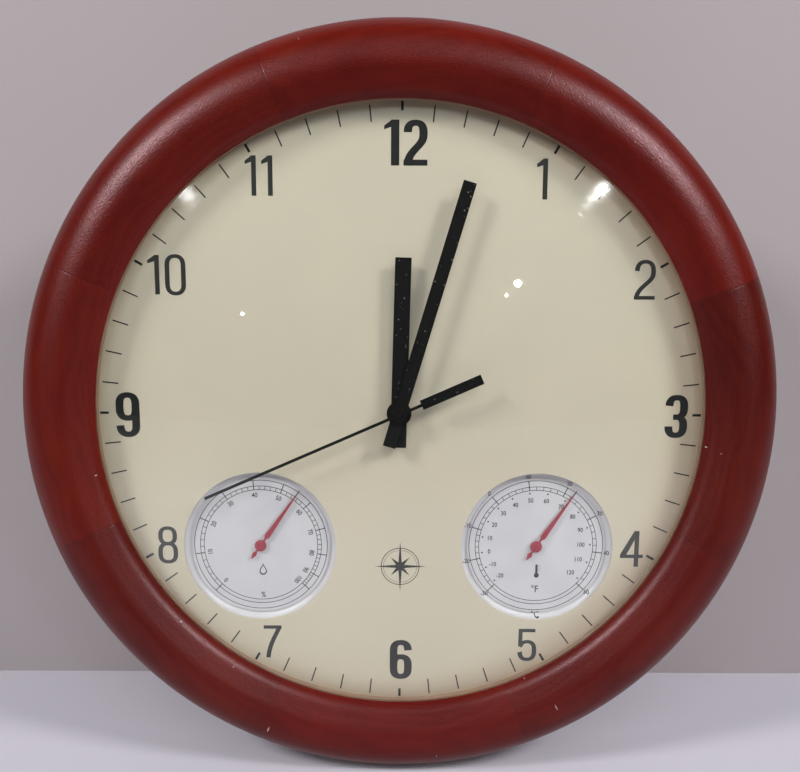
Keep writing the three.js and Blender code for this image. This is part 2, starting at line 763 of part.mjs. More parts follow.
const pillarInset = PILLAR_RADIUS + 3 * RUN;
const thirdReach = (THIRD_WHEEL_TEETH / 2 + ADDENDUM) * THIRD_MODULE;
const bridgeHalf = thirdReach - third.x + PILLAR_RADIUS + 2 * RUN + pillarInset;
const bridgeBottom = CHAMBER_BOTTOM + BRIDGE_TO_FLOOR;
const statorBottom = CHAMBER_BOTTOM + STATOR_TO_FLOOR;

function bridgePillarPlaces() {
  const side = bridgeHalf - pillarInset;
  const top = BRIDGE_TOP - pillarInset;
  const bottom = bridgeBottom + pillarInset;
  return [
    new THREE.Vector2(side, top),
    new THREE.Vector2(-side, top),
    new THREE.Vector2(-side, bottom),
    new THREE.Vector2(rotor.x - MAGNET_RADIUS - PILLAR_PIN_RADIUS, bottom),
  ];
}

function statorPostPlaces() {
  const x = rotor.x + STATOR_NECK;
  return [
    new THREE.Vector2(x, STATOR_TOP - STATOR_LIMB),
    new THREE.Vector2(x, statorBottom + STATOR_LIMB * 0.7),
  ];
}

const coreBack = bridgeBack - 0.6;
const statorFront = coreBack - SEAT;
const statorBack = statorFront - STATOR_THICKNESS;

function trainBridge() {
  const pivotHoles = [third, idler, rotor].map((place) => circle(PIVOT_RADIUS + RUN, PIN_FACETS, place));
  const arborHole = circle(SECONDS_ARBOR_RADIUS + RUN, PIN_FACETS);
  const pinHoles = bridgePillarPlaces().map((place) => circle(PILLAR_PIN_RADIUS + RUN, PIN_FACETS, place));
  const outline = roundedRectangle(
    -bridgeHalf,
    bridgeBottom,
    bridgeHalf,
    BRIDGE_TOP,
    PILLAR_RADIUS,
    2,
  );
  const holes = [...pivotHoles, arborHole, ...pinHoles];
  const posts = statorPostPlaces().map((place) =>
    disc(POST_RADIUS, statorFront + SEAT, bridgeBack + 0.3, PIN_FACETS, place),
  );
  return join(plate(outline, bridgeBack, bridgeFront, holes), ...posts);
}

// Movement case: a moulded box with a bush, a battery bay below and posts for what it carries.

const bayLength =
  SPRING_LENGTH + BATTERY_LENGTH + BATTERY_BUTTON_HEIGHT + CONTACT_THICKNESS + 4 * SEAT;
const caseHalf = bayLength / 2 + CASE_WALL;
const bayHeight = 2 * BATTERY_RADIUS + 1;
const bayTop = CHAMBER_BOTTOM - CASE_WALL;
const bayBottom = bayTop - bayHeight;
const circuitLeft = -caseHalf + CASE_WALL + 0.4;
const circuitBack = coverInner + BUTTON_FLANGE + BUTTON_TRAVEL + 2 * SEAT;
const circuitFront = circuitBack + CIRCUIT_THICKNESS;
const circuitBottom = CHAMBER_BOTTOM + CIRCUIT_TO_FLOOR;
const circuitTop = circuitBottom + CIRCUIT_HEIGHT;
const circuitMiddle = circuitLeft + CIRCUIT_WIDTH / 2;
const rodY = CHAMBER_TOP - 2 * RUN - AERIAL_COIL_RADIUS;
const rodZ = caseInner - 2 * RUN - AERIAL_COIL_RADIUS;

function circuitPillarPlaces() {
  const x = circuitLeft + 2;
  return [new THREE.Vector2(x, circuitBottom + 2), new THREE.Vector2(x, circuitTop - 2)];
}

function antennaCradles() {
  const places = [-ROD_LENGTH / 2 + 4, ROD_LENGTH / 2 - 1];
  const groove = rodAlongX(ROD_RADIUS + RUN, -ROD_LENGTH, ROD_LENGTH, BOSS_FACETS, rodY, rodZ);
  return places.map((x) => {
    const block = plate(rectangle(x - 0.8, rodY - 2.4, x + 0.8, rodY + 2.4), rodZ, caseInner + 0.5);
    return cut(block, groove);
  });
}

function movementCase() {
  const outer = roundedRectangle(
    -caseHalf,
    bayBottom - CASE_WALL,
    caseHalf,
    CHAMBER_TOP + CASE_WALL,
    CASE_CORNER,
  );
  const inside = caseHalf - CASE_WALL;
  const hollow = cut(
    plate(outer, coverInner, caseFront),
    plate(rectangle(-inside, CHAMBER_BOTTOM, inside, CHAMBER_TOP), coverInner - 1, caseInner),
    plate(rectangle(-inside, bayBottom, inside, bayTop), coverInner - 1, caseInner),
  );
  const pillars = bridgePillarPlaces().flatMap((place) => [
    disc(PILLAR_RADIUS, bridgeFront + SEAT, caseInner + 0.5, PIN_FACETS, place),
    disc(PILLAR_PIN_RADIUS, bridgeBack + SEAT, bridgeFront + 1, PIN_FACETS, place),
  ]);
  const circuitPillars = circuitPillarPlaces().flatMap((place) => [
    disc(1.5, circuitFront + SEAT, caseInner + 0.5, PIN_FACETS, place),
    disc(0.7, circuitBack + SEAT, circuitFront + 1, PIN_FACETS, place),
  ]);
  const thirdBoss = disc(
    PIVOT_RADIUS + RUN + BOSS_WALL,
    minuteLayer + 3 * RUN,
    caseInner + 0.5,
    PIN_FACETS,
    third,
  );
  const body = join(
    hollow,
    disc(BUSH_RADIUS, caseFront - 0.5, bushTop, BOSS_FACETS),
    disc(ARBOR_RADIUS, motionLayer - WHEEL_THICKNESS, caseInner + 0.5, PIN_FACETS, motion),
    thirdBoss,
    ...pillars,
    ...circuitPillars,
    ...antennaCradles(),
  );
  return cut(
    body,
    disc(HOUR_PIPE_RADIUS + RUN, coverInner - 1, bushTop + 1, BOSS_FACETS),
    disc(
      PIVOT_RADIUS + RUN,
      minuteLayer,
      minuteLayer + PIVOT_REACH + RUN,
      PIN_FACETS,
      third,
    ),
  );
}

function buttonPlaces() {
  return [-1, 0, 1].map((i) => new THREE.Vector2(circuitMiddle, BUTTON_MIDDLE_Y + i * BUTTON_PITCH));
}

// Rear cover: closes the chamber, holds the rear pivots and presses the stator home.
function rearCover() {
  const top = CHAMBER_TOP + CASE_WALL;
  const outline = roundedRectangle(-caseHalf, CHAMBER_BOTTOM - CASE_WALL, caseHalf, top, CASE_CORNER);
  const buttonHoles = buttonPlaces().map((place) => circle(BUTTON_RADIUS + RUN, PIN_FACETS, place));
  const coverFront = coverInner - SEAT;
  const body = plate(outline, coverOuter, coverFront, buttonHoles);
  const inside = caseHalf - CASE_WALL - 2 * RUN;
  const rimTop = CHAMBER_TOP - 2 * RUN;
  const rimBottom = CHAMBER_BOTTOM + 2 * RUN;
  const rim = plate(
    rectangle(-inside, rimBottom, inside, rimTop),
    coverFront - 0.5,
    coverFront + COVER_RIM,
    [rectangle(-inside + 1, rimBottom + 1, inside - 1, rimTop - 1)],
  );
  const bossEnd = coverInner + PIVOT_REACH + 2 * RUN;
  const bossRadius = PIVOT_RADIUS + RUN + BOSS_WALL;
  const bosses = [shaft, idler, rotor].map((place) =>
    disc(bossRadius + RUN, coverFront - 0.5, bossEnd, PIN_FACETS, place),
  );
  const posts = statorPostPlaces().map((place) =>
    disc(POST_RADIUS, coverFront - 0.5, statorBack - SEAT, PIN_FACETS, place),
  );
  const pivotHoles = [idler, rotor].map((place) =>
    disc(PIVOT_RADIUS + RUN, coverInner, bossEnd + 1, PIN_FACETS, place),
  );
  const arborHole = disc(SECONDS_ARBOR_RADIUS + RUN, coverInner, bossEnd + 1, PIN_FACETS);
  return cut(join(body, rim, ...bosses, ...posts), ...pivotHoles, arborHole);
}

function mountingNut() {
  const round = circle(NUT_RADIUS, BOSS_FACETS);
  const body = plate(round, SEAT, SEAT + NUT_HEIGHT, [circle(BUSH_RADIUS + RUN, BOSS_FACETS)]);
  const half = NUT_SLOT / 2;
  const slotFloor = SEAT + NUT_HEIGHT / 2;
  const slots = [-1, 1].map((side) => {
    const from = Math.min(side * BUSH_RADIUS, side * (NUT_RADIUS + 1));
    const to = Math.max(side * BUSH_RADIUS, side * (NUT_RADIUS + 1));
    return plate(rectangle(from, -half, to, half), slotFloor, SEAT + NUT_HEIGHT + 1);
  });
  return cut(body, ...slots);
}

function caseGasket() {
  const back = gasketFront - GASKET_THICKNESS;
  return tube(GASKET_RADIUS, BUSH_RADIUS + RUN, back, gasketFront, BOSS_FACETS);
}

// Motor parts.

function stator() {
  const hole = MAGNET_RADIUS + STATOR_AIR_GAP;
  const idlerPinionReach = (IDLER_PINION_TEETH / 2 + ADDENDUM) * SECONDS_MODULE;
  const left = idler.x + idlerPinionReach + 2 * RUN;
  const right = rotor.x + hole + STATOR_NECK;
  const end = CORE_X + CORE_WIDTH / 2;
  const outline = [
    new THREE.Vector2(left, statorBottom),
    new THREE.Vector2(end, statorBottom),
    new THREE.Vector2(end, statorBottom + STATOR_LIMB),
    new THREE.Vector2(right, statorBottom + STATOR_LIMB),
    new THREE.Vector2(right, STATOR_TOP - STATOR_LIMB),
    new THREE.Vector2(end, STATOR_TOP - STATOR_LIMB),
    new THREE.Vector2(end, STATOR_TOP),
    new THREE.Vector2(left, STATOR_TOP),
  ];
  return plate(outline, statorBack, statorFront, [circle(hole, BOSS_FACETS, rotor)]);
}

function motorCore() {
  const half = CORE_WIDTH / 2;
  const outline = rectangle(CORE_X - half, statorBottom, CORE_X + half, STATOR_TOP);
  return plate(outline, coreBack, coreBack + CORE_THICKNESS);
}

// Bobbin and winding, built along z and turned to lie along y on the core.
function motorCoil() {
  const bottom = statorBottom + STATOR_LIMB + 2 * RUN;
  const top = STATOR_TOP - STATOR_LIMB - 2 * RUN;
  const middle = (bottom + top) / 2;
  const half = (top - bottom) / 2;
  const halfWidth = CORE_WIDTH / 2 + RUN;
  const halfDepth = CORE_THICKNESS / 2 + RUN;
  const window = rectangle(-halfWidth, -halfDepth, halfWidth, halfDepth);
  const body = join(
    disc(COIL_RADIUS, -half, half, BOSS_FACETS),
    disc(BOBBIN_RADIUS, -half, -half + BOBBIN_FLANGE, BOSS_FACETS),
    disc(BOBBIN_RADIUS, half - BOBBIN_FLANGE, half, BOSS_FACETS),
  );
  const hollow = cut(body, plate(window, -half - 1, half + 1));
  return hollow.rotateX(Math.PI / 2).translate(CORE_X, middle, coreBack + CORE_THICKNESS / 2);
}

// Battery with its raised button, lying along x in the bay.

const bayMiddle = (bayTop + bayBottom) / 2;
const batteryZ = caseInner - RUN - BATTERY_RADIUS;
const bayEnd = caseHalf - CASE_WALL;
const contactFace = bayEnd - SEAT - CONTACT_THICKNESS;
const batteryButtonEnd = contactFace - SEAT;
const batteryShoulder = batteryButtonEnd - BATTERY_BUTTON_HEIGHT;
const batteryTail = batteryShoulder - BATTERY_LENGTH;

function battery() {
  const profile = [
    station(0, 0),
    station(BATTERY_RADIUS - 0.8, 0),
    station(BATTERY_RADIUS, 0.8),
    station(BATTERY_RADIUS, BATTERY_LENGTH - 0.8),
    station(BATTERY_RADIUS - 0.8, BATTERY_LENGTH),
    station(BATTERY_BUTTON_RADIUS, BATTERY_LENGTH),
    station(BATTERY_BUTTON_RADIUS, BATTERY_LENGTH + BATTERY_BUTTON_HEIGHT),
    station(0, BATTERY_LENGTH + BATTERY_BUTTON_HEIGHT),
  ];
  const body = turned(profile, BOSS_FACETS);
  return body.rotateY(Math.PI / 2).translate(batteryTail, bayMiddle, batteryZ);
}

function positiveContact() {
  const half = CONTACT_SIZE / 2;
  const outline = roundedRectangle(-half, -half, half, half, 1.5, 2);
  const body = plate(outline, 0, CONTACT_THICKNESS);
  return body.rotateY(Math.PI / 2).translate(contactFace, bayMiddle, batteryZ);
}

// Conical spring: a plate against the bay's end and one wire that winds towards the battery.
function springContact() {
  const half = CONTACT_SIZE / 2;
  const base = plate(roundedRectangle(-half, -half, half, half, 1.5, 2), 0, CONTACT_THICKNESS);
  const steps = 8;
  const points = [];
  for (let i = 0; i <= SPRING_TURNS * steps; i += 1) {
    const share = i / (SPRING_TURNS * steps);
    const radius = THREE.MathUtils.lerp(half - 2 * SPRING_WIRE_RADIUS, 1.4, share);
    const angle = (2 * Math.PI * i) / steps;
    const height = CONTACT_THICKNESS + share * (SPRING_LENGTH - CONTACT_THICKNESS - SPRING_WIRE_RADIUS);
    points.push(new THREE.Vector3(radius * Math.cos(angle), radius * Math.sin(angle), height));
  }
  const wire = new THREE.ExtrudeGeometry(new THREE.Shape(circle(SPRING_WIRE_RADIUS, 5)), {
    steps: points.length - 1,
    extrudePath: new THREE.CatmullRomCurve3(points),
  });
  const spring = join(base, wire);
  return spring.rotateY(Math.PI / 2).translate(-bayEnd + SEAT, bayMiddle, batteryZ);
}

// Radio receiver and circuit board.

function antennaRod() {
  return rodAlongX(ROD_RADIUS, -ROD_LENGTH / 2, ROD_LENGTH / 2, BOSS_FACETS, rodY, rodZ);
}

function antennaCoil() {
  const left = AERIAL_COIL_X - AERIAL_COIL_LENGTH / 2;
  const ring = tube(AERIAL_COIL_RADIUS, ROD_RADIUS + RUN, 0, AERIAL_COIL_LENGTH, BOSS_FACETS);
  return ring.rotateY(Math.PI / 2).translate(left, rodY, rodZ);
}

function circuitBoard() {
  const holes = circuitPillarPlaces().map((place) => circle(0.7 + RUN, PIN_FACETS, place));
  const outline = rectangle(circuitLeft, circuitBottom, circuitLeft + CIRCUIT_WIDTH, circuitTop);
  return plate(outline, circuitBack, circuitFront, holes);
}

function controllerChip() {
  const base = circuitFront + SEAT;
  const profile = [
    station(0, base),
    station(CHIP_RADIUS, base),
    station(CHIP_RADIUS * 0.7, base + CHIP_HEIGHT * 0.75),
    station(0, base + CHIP_HEIGHT),
  ];
  return turned(profile, PIN_FACETS).translate(circuitMiddle, CHIP_Y, 0);
}

function crystalCan() {
  const left = circuitLeft + CIRCUIT_WIDTH - CRYSTAL_LENGTH - 0.5;
  const z = circuitFront + SEAT + CRYSTAL_RADIUS;
  return rodAlongX(CRYSTAL_RADIUS, left, left + CRYSTAL_LENGTH, PIN_FACETS, circuitBottom + 4, z);
}

// Push button: a cap through the cover with a flange behind it.
function pushButton(place) {
  const flangeBack = coverInner;
  return join(
    disc(BUTTON_RADIUS, coverOuter - BUTTON_PROUD, flangeBack + 0.1, PIN_FACETS, place),
    disc(BUTTON_RADIUS + BUTTON_FLANGE, flangeBack, flangeBack + BUTTON_FLANGE, PIN_FACETS, place),
  );
}

// Hands, drawn pointing at twelve.

function batonHand(length, width, height, bossRadius, bore) {
  const half = width / 2;
  const back = height - HAND_THICKNESS;
  const wing = Math.sqrt(bossRadius ** 2 - half ** 2);
  const lift = THREE.MathUtils.radToDeg(Math.atan2(wing, half));
  const outline = [
    ...arc(0, 0, bossRadius, bossRadius, -lift, lift, 6),
    new THREE.Vector2(half, length),
    new THREE.Vector2(-half, length),
    ...arc(0, 0, bossRadius, bossRadius, 180 - lift, 180 + lift, 6),
    new THREE.Vector2(-half, -HAND_TAIL),
    new THREE.Vector2(half, -HAND_TAIL),
  ];
  const collet = disc(bore + COLLET_WALL, back - COLLET_LENGTH, back + 0.2, BOSS_FACETS);
  const body = join(plate(outline, back, height), collet);
  return cut(body, disc(bore, back - COLLET_LENGTH - 1, height + 1, BOSS_FACETS));
}

function hourHand() {
  const bore = HOUR_PIPE_RADIUS + RUN;
  return batonHand(HOUR_HAND_LENGTH, HOUR_HAND_WIDTH, hourHandFront, HOUR_BOSS_RADIUS, bore);
}

function minuteHand() {
  const bore = MINUTE_ARBOR_RADIUS + RUN;
  return batonHand(
    MINUTE_HAND_LENGTH,
    MINUTE_HAND_WIDTH,
    minuteHandFront,
    MINUTE_BOSS_RADIUS,
    bore,
  );
}

// Second hand: a thin needle, a closed boss and a counterweight bar on a narrow neck.
function secondHand() {
  const half = SECOND_HAND_WIDTH / 2;
  const halfBar = COUNTERWEIGHT_WIDTH / 2;
  const barEnd = -COUNTERWEIGHT_START - COUNTERWEIGHT_LENGTH;
  const rise = THREE.MathUtils.radToDeg(Math.acos(half / SECOND_BOSS_RADIUS));
  const back = secondHandFront - HAND_THICKNESS;
  const outline = [
    ...arc(0, 0, SECOND_BOSS_RADIUS, SECOND_BOSS_RADIUS, -rise, rise, 8),
    new THREE.Vector2(half, SECOND_HAND_LENGTH),
    new THREE.Vector2(-half, SECOND_HAND_LENGTH),
    ...arc(0, 0, SECOND_BOSS_RADIUS, SECOND_BOSS_RADIUS, 180 - rise, 180 + rise, 8),
    new THREE.Vector2(-half, -COUNTERWEIGHT_START),
    new THREE.Vector2(-halfBar, -COUNTERWEIGHT_START),
    new THREE.Vector2(-halfBar, barEnd),
    new THREE.Vector2(halfBar, barEnd),
    new THREE.Vector2(halfBar, -COUNTERWEIGHT_START),
    new THREE.Vector2(half, -COUNTERWEIGHT_START),
  ];
  const bore = SECONDS_ARBOR_RADIUS + RUN;
  const body = join(
    plate(outline, back, secondHandFront),
    disc(bore + COLLET_WALL, back - COLLET_LENGTH, secondHandFront + 2 * RUN + 0.5, BOSS_FACETS),
  );
  return cut(body, disc(bore, back - COLLET_LENGTH - 1, secondHandFront + RUN, PIN_FACETS));
}

// Instruments. Each is drawn about its own spindle.

const faceFront = -FACE_DEPTH;
const faceBack = faceFront - FACE_THICKNESS;
const floorFront = faceBack - SEAT;
const floorBack = floorFront - FLOOR_THICKNESS;
const rimFront = dialBack - SEAT;
const housingBack = rimFront - HOUSING_DEPTH;
const floorRadius = WINDOW_RADIUS - COVE_WIDTH;
const pointerBack = faceFront + POINTER_LIFT;
const pointerLength = floorRadius - POINTER_TIP_GAP;
const barFront = housingBack + BAR_THICKNESS + 1;
const barBack = barFront - BAR_THICKNESS;
const bimetalBack = (floorBack + barFront) / 2 - BIMETAL_WIDTH / 2;
const bimetalFront = bimetalBack + BIMETAL_WIDTH;

// Round can with a coved dish in front and an open back. A floor between them carries the spindle.
function instrumentHousing() {
  const profile = [
    station(0, floorFront),
    ...arc(floorRadius, rimFront, COVE_WIDTH, rimFront - floorFront, -90, 0, 2),
    station(housingRadius, rimFront),
    station(housingRadius, housingBack),
    station(housingRadius - HOUSING_WALL, housingBack),
    station(housingRadius - HOUSING_WALL, floorBack),
    station(0, floorBack),
  ];
  const anchor = disc(1.2, bimetalBack, floorBack + 0.5, PIN_FACETS, bimetalAnchor());
  const seats = [-1, 1].map((side) => {
    const inner = side * (housingRadius - HOUSING_WALL - 2);
    const outer = side * (housingRadius - HOUSING_WALL / 2);
    const outline = rectangle(
      Math.min(inner, outer),
      -BAR_WIDTH / 2,
      Math.max(inner, outer),
      BAR_WIDTH / 2,
    );
    return plate(outline, barFront + SEAT, floorBack + 0.5);
  });
  const body = join(turned(profile, DISH_FACETS), anchor, ...seats);
  return cut(body, disc(SPINDLE_RADIUS + RUN, floorBack - 1, floorFront + 1, PIN_FACETS));
}

function instrumentFace() {
  const hole = circle(SPINDLE_RADIUS + 3 * RUN, PIN_FACETS);
  return plate(circle(floorRadius - RUN, DISH_FACETS), faceBack, faceFront, [hole]);
}

function spindle() {
  return disc(SPINDLE_RADIUS, barFront - BAR_THICKNESS / 2, pointerBack + POINTER_THICKNESS, PIN_FACETS);
}

// Needle with a round hub and a small leaf-shaped tail.
function instrumentPointer() {
  const halfNeck = POINTER_NECK_WIDTH / 2;
  const halfBase = POINTER_BASE_WIDTH / 2;
  const halfTip = POINTER_TIP_WIDTH / 2;
  const neckLength = 1.7;
  const rise = THREE.MathUtils.radToDeg(Math.acos(halfNeck / POINTER_HUB_RADIUS));
  const hub = POINTER_HUB_RADIUS;
  const leaf = (hub + POINTER_TAIL) / 2;
  const right = [
    ...arc(0, 0, hub, hub, -rise, rise, 6),
    new THREE.Vector2(halfNeck, hub + neckLength),
    new THREE.Vector2(halfBase, hub + neckLength + 0.8),
    new THREE.Vector2(halfTip, pointerLength),
  ];
  const left = [
    new THREE.Vector2(-halfTip, pointerLength),
    new THREE.Vector2(-halfBase, hub + neckLength + 0.8),
    new THREE.Vector2(-halfNeck, hub + neckLength),
    ...arc(0, 0, hub, hub, 180 - rise, 180 + rise, 6),
  ];
  const tail = [
    new THREE.Vector2(-halfBase * 0.88, -leaf),
    new THREE.Vector2(-halfTip, -POINTER_TAIL),
    new THREE.Vector2(halfTip, -POINTER_TAIL),
    new THREE.Vector2(halfBase * 0.88, -leaf),
  ];
  const bore = SPINDLE_RADIUS + RUN;
  const body = join(
    plate([...right, ...left, ...tail], pointerBack, pointerBack + POINTER_THICKNESS),
    disc(bore + 0.6, faceFront + 2 * RUN, pointerBack + 0.1, PIN_FACETS),
    disc(bore + 0.3, pointerBack, pointerBack + POINTER_THICKNESS + 2 * RUN, PIN_FACETS),
  );
  return cut(body, disc(bore, faceFront, pointerBack + POINTER_THICKNESS + RUN, PIN_FACETS));
}

function bimetalAnchor() {
  const reach = BIMETAL_OUTER_RADIUS + BIMETAL_THICKNESS / 2 + 1.2 + SEAT;
  return new THREE.Vector2(reach, 0);
}

// Spiral strip: it starts beside the spindle and ends beside its anchor post.
function bimetalCoil() {
  const steps = 12;
  const count = COIL_TURNS * steps;
  const inner = [];
  const outer = [];
  for (let i = 0; i <= count; i += 1) {
    const angle = (2 * Math.PI * i) / steps;
    const radius = THREE.MathUtils.lerp(BIMETAL_INNER_RADIUS, BIMETAL_OUTER_RADIUS, i / count);
    inner.push(onCircle(shaft, radius - BIMETAL_THICKNESS / 2, angle));
    outer.push(onCircle(shaft, radius + BIMETAL_THICKNESS / 2, angle));
  }
  return plate([...inner, ...outer.reverse()], bimetalBack, bimetalFront);
}

// Collet that clamps the coil's inner end beside the spindle.
function bimetalCollet() {
  const radius = BIMETAL_INNER_RADIUS - BIMETAL_THICKNESS / 2 - SEAT - RUN;
  return tube(radius, SPINDLE_RADIUS + RUN, bimetalBack, bimetalFront, PIN_FACETS);
}

function bridgeBar() {
  const half = BAR_WIDTH / 2;
  const end = housingRadius - HOUSING_WALL - 1.2;
  const hole = circle(SPINDLE_RADIUS + RUN, PIN_FACETS);
  return plate(roundedRectangle(-end, -half, end, half, 1.5, 2), barBack, barFront, [hole]);
}

function instrument(name, centre, pointerAngle) {
  const group = new THREE.Group();
  const pointer = mesh(`${name}_pointer`, instrumentPointer(), pointerRed);
  pointer.rotation.z = -radians(pointerAngle);
  group.add(
    mesh(`${name}_housing`, instrumentHousing(), whitePlastic),
    mesh(`${name}_face`, instrumentFace(), printedWhite),
    pointer,
    mesh(`${name}_spindle`, spindle(), zincSteel),
    mesh(`${name}_coil`, bimetalCoil(), brassMetal),
    mesh(`${name}_collet`, bimetalCollet(), brassMetal),
    mesh(`${name}_bridge_bar`, bridgeBar(), zincSteel),
  );
  group.position.set(centre.x, centre.y, 0);
  return group;
}

function hand(name, geometry, angle) {
  const piece = mesh(name, geometry, blackPaint);
  piece.rotation.z = -radians(angle);
  return piece;
}

// The assembly.

const body = new THREE.Group();
body.add(
  mesh("frame_ring", frameRing(), stainedWood),
  mesh("dial_glass", dialGlass(), clearGlass),
  mesh("spacer_ring", spacerRing(), creamPlastic),
  mesh("dial_plate", dialPlate(), creamDial),
  mesh("backing_board", backingBoard(), hardboard),
  mesh("hanger_plate", hangerPlate(), zincSteel),
);
clipPlaces().forEach((place, i) => {
  body.add(mesh(`retainer_clip_${i + 1}`, retainerClip(place), zincSteel));
  body.add(mesh(`retainer_screw_${i + 1}`, retainerScrew(place), zincSteel));
});
hangerScrewPlaces().forEach((place, i) => {
  body.add(mesh(`hanger_screw_${i + 1}`, hangerScrew(place, 0), zincSteel));
});

const movement = new THREE.Group();
movement.add(
  mesh("movement_case", movementCase(), blackPlastic),
  mesh("rear_cover", rearCover(), blackPlastic),
  mesh("train_bridge", trainBridge(), greyPlastic),
  mesh("mounting_nut", mountingNut(), brassMetal),
  mesh("case_gasket", caseGasket(), gasketRubber),
  mesh("battery", battery(), batterySleeve),
  mesh("battery_contact_positive", positiveContact(), zincSteel),
  mesh("battery_contact_spring", springContact(), zincSteel),
  mesh("motor_rotor", motorRotor(), magnetIron),
  mesh("stator", stator(), magnetIron),
  mesh("motor_core", motorCore(), magnetIron),
  mesh("motor_coil", motorCoil(), copperWire),
  mesh("idler_wheel", idlerWheel(), gearPlastic),
  mesh("seconds_wheel", secondsWheel(), gearPlastic),
  mesh("third_wheel", thirdWheel(), gearPlastic),
  mesh("minute_wheel", minuteWheel(), gearPlastic),
  mesh("motion_wheel", motionWheel(), gearPlastic),
  mesh("hour_wheel", hourWheel(), gearPlastic),
  mesh("circuit_board", circuitBoard(), circuitGreen),
  mesh("controller_chip", controllerChip(), blackPlastic),
  mesh("crystal_can", crystalCan(), zincSteel),
  mesh("antenna_rod", antennaRod(), ferrite),
  mesh("antenna_coil", antennaCoil(), copperWire),
);
["set_button", "receive_button", "reset_button"].forEach((name, i) => {
  movement.add(mesh(name, pushButton(buttonPlaces()[i]), whitePlastic));
});

const hands = new THREE.Group();
hands.add(
  hand("hour_hand", hourHand(), HOUR_HAND_ANGLE),
  hand("minute_hand", minuteHand(), MINUTE_HAND_ANGLE),
  hand("second_hand", secondHand(), SECOND_HAND_ANGLE),
);

const [humidityCentre, temperatureCentre] = instrumentCentres();
const clock = new THREE.Group();
clock.add(
  body,
  movement,
  hands,
  instrument("humidity", humidityCentre, HUMIDITY_POINTER_ANGLE),
  instrument("temperature", temperatureCentre, TEMPERATURE_POINTER_ANGLE),
);

// Stand it upright, with the origin in the middle of its depth.
clock.rotation.x = Math.PI / 2;
clock.position.y = (glassFrontAt(0) + wallPlane) / 2;

const assembly = new THREE.Group();
assembly.add(clock);

export default assembly;
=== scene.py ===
import json
from math import acos, asin, copysign, cos, degrees, hypot, pi, radians, sin, sqrt

import bmesh
import bpy
from mathutils import Matrix, Vector
from mathutils.geometry import tessellate_polygon


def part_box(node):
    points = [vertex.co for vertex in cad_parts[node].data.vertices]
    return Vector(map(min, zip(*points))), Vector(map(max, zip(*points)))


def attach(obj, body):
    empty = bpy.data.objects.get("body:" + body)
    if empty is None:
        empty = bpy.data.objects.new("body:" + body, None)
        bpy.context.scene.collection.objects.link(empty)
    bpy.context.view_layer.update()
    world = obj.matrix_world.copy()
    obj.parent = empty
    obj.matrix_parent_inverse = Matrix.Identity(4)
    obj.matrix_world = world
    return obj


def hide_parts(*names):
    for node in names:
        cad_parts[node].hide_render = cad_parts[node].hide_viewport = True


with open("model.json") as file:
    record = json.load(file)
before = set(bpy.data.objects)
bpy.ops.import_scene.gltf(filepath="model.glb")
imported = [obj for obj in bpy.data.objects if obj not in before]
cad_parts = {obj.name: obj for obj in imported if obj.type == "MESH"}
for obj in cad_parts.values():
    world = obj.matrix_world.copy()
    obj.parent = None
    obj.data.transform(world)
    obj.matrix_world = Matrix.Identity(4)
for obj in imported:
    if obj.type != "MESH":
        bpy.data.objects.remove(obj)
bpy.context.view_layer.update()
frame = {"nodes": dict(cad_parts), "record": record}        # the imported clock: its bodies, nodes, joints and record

DIAL_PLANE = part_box("dial_plate")[0].y
FACE = Matrix(((0.001, 0, 0, 0), (0, 0, -0.001, DIAL_PLANE), (0, 0.001, 0, 0), (0, 0, 0, 1)))

# Turned parts: radii from the middle and stations along z.
RING_RADIUS = 175.0
CROWN_RADIUS, CROWN_HEIGHT, CROWN_ROUND = 157.3, 14.0, 18.0
LIP_RADIUS, LIP_BACK, LIP_FRONT, LIP_ROUND = 139.95, 4.99, 5.99, 9.0
SLOPE = 114.87  # degrees at which the straight slope leaves the lip's round and meets the crown's
BULGE, BACK_ROUND, WALL_PLANE = -5.0, 8.0, -24.0
RECESS_RADIUS, REBATE_RADIUS, STACK_RADIUS, LEDGE = 152.0, 144.8, 144.3, -4.15
SPACER_BORE, BOARD_WINDOW, HUB_HOLE = 140.6, 39.3, 3.8
GLASS_EDGE, GLASS_RISE, GLASS_THICKNESS = 2.5, 11.508, 1.6

# The ring is glued from boards, and its back holds clips and a hanger by screws.
BOARD_COUNT, FIRST_JOINT = 8, radians(23.5)
CLIP_TURNS, CLIP_SCREW_RADIUS = (0, 90, 180, 270), (REBATE_RADIUS + RECESS_RADIUS) / 2
HANGER_Y, HANGER_SCREW_X = (RECESS_RADIUS + RING_RADIUS - BACK_ROUND) / 2 - 0.3, (-13.6, 13.6)

# Hands: the height of each front, the blade, the boss with its bore, and the bearing at rest.
HAND_THICKNESS, HAND_TAIL = 0.5, 16.0
HANDS = {
    "hour_hand": {"front": 4.2, "length": 71.0, "width": 7.4, "boss": 5.75, "bore": 2.65, "angle": 1.34},
    "minute_hand": {"front": 6.2, "length": 108.4, "width": 6.0, "boss": 5.2, "bore": 1.65, "angle": 16.6},
}
SECOND_FRONT, SECOND_ANGLE, SECOND_LENGTH = 8.2, 246.2, 98.0
WEIGHT_HALF, WEIGHT_START, WEIGHT_END = 2.3, -11.2, -41.2

# Instruments: x, y and the pointer's bearing; then the dial's window, the dish's cove and the card.
INSTRUMENTS = {"humidity": (-66.15, -65.3, 35.0), "temperature": (66.15, -65.3, 34.2)}
WINDOW_RADIUS, DISH_FLOOR_RADIUS, DISH_RIM, COVE_DEPTH = 36.2, 33.6, -1.15, 2.0
CARD_RADIUS, FACE_FRONT = 33.45, -2.6

# Print lies this far above what it is printed on, on a dial that was printed a little off its middle.
PRINT_LIFT, PRINT_SHIFT = 0.03, (0.85, -0.8)
BOWL = 2.35  # squareness of the figures' bowls

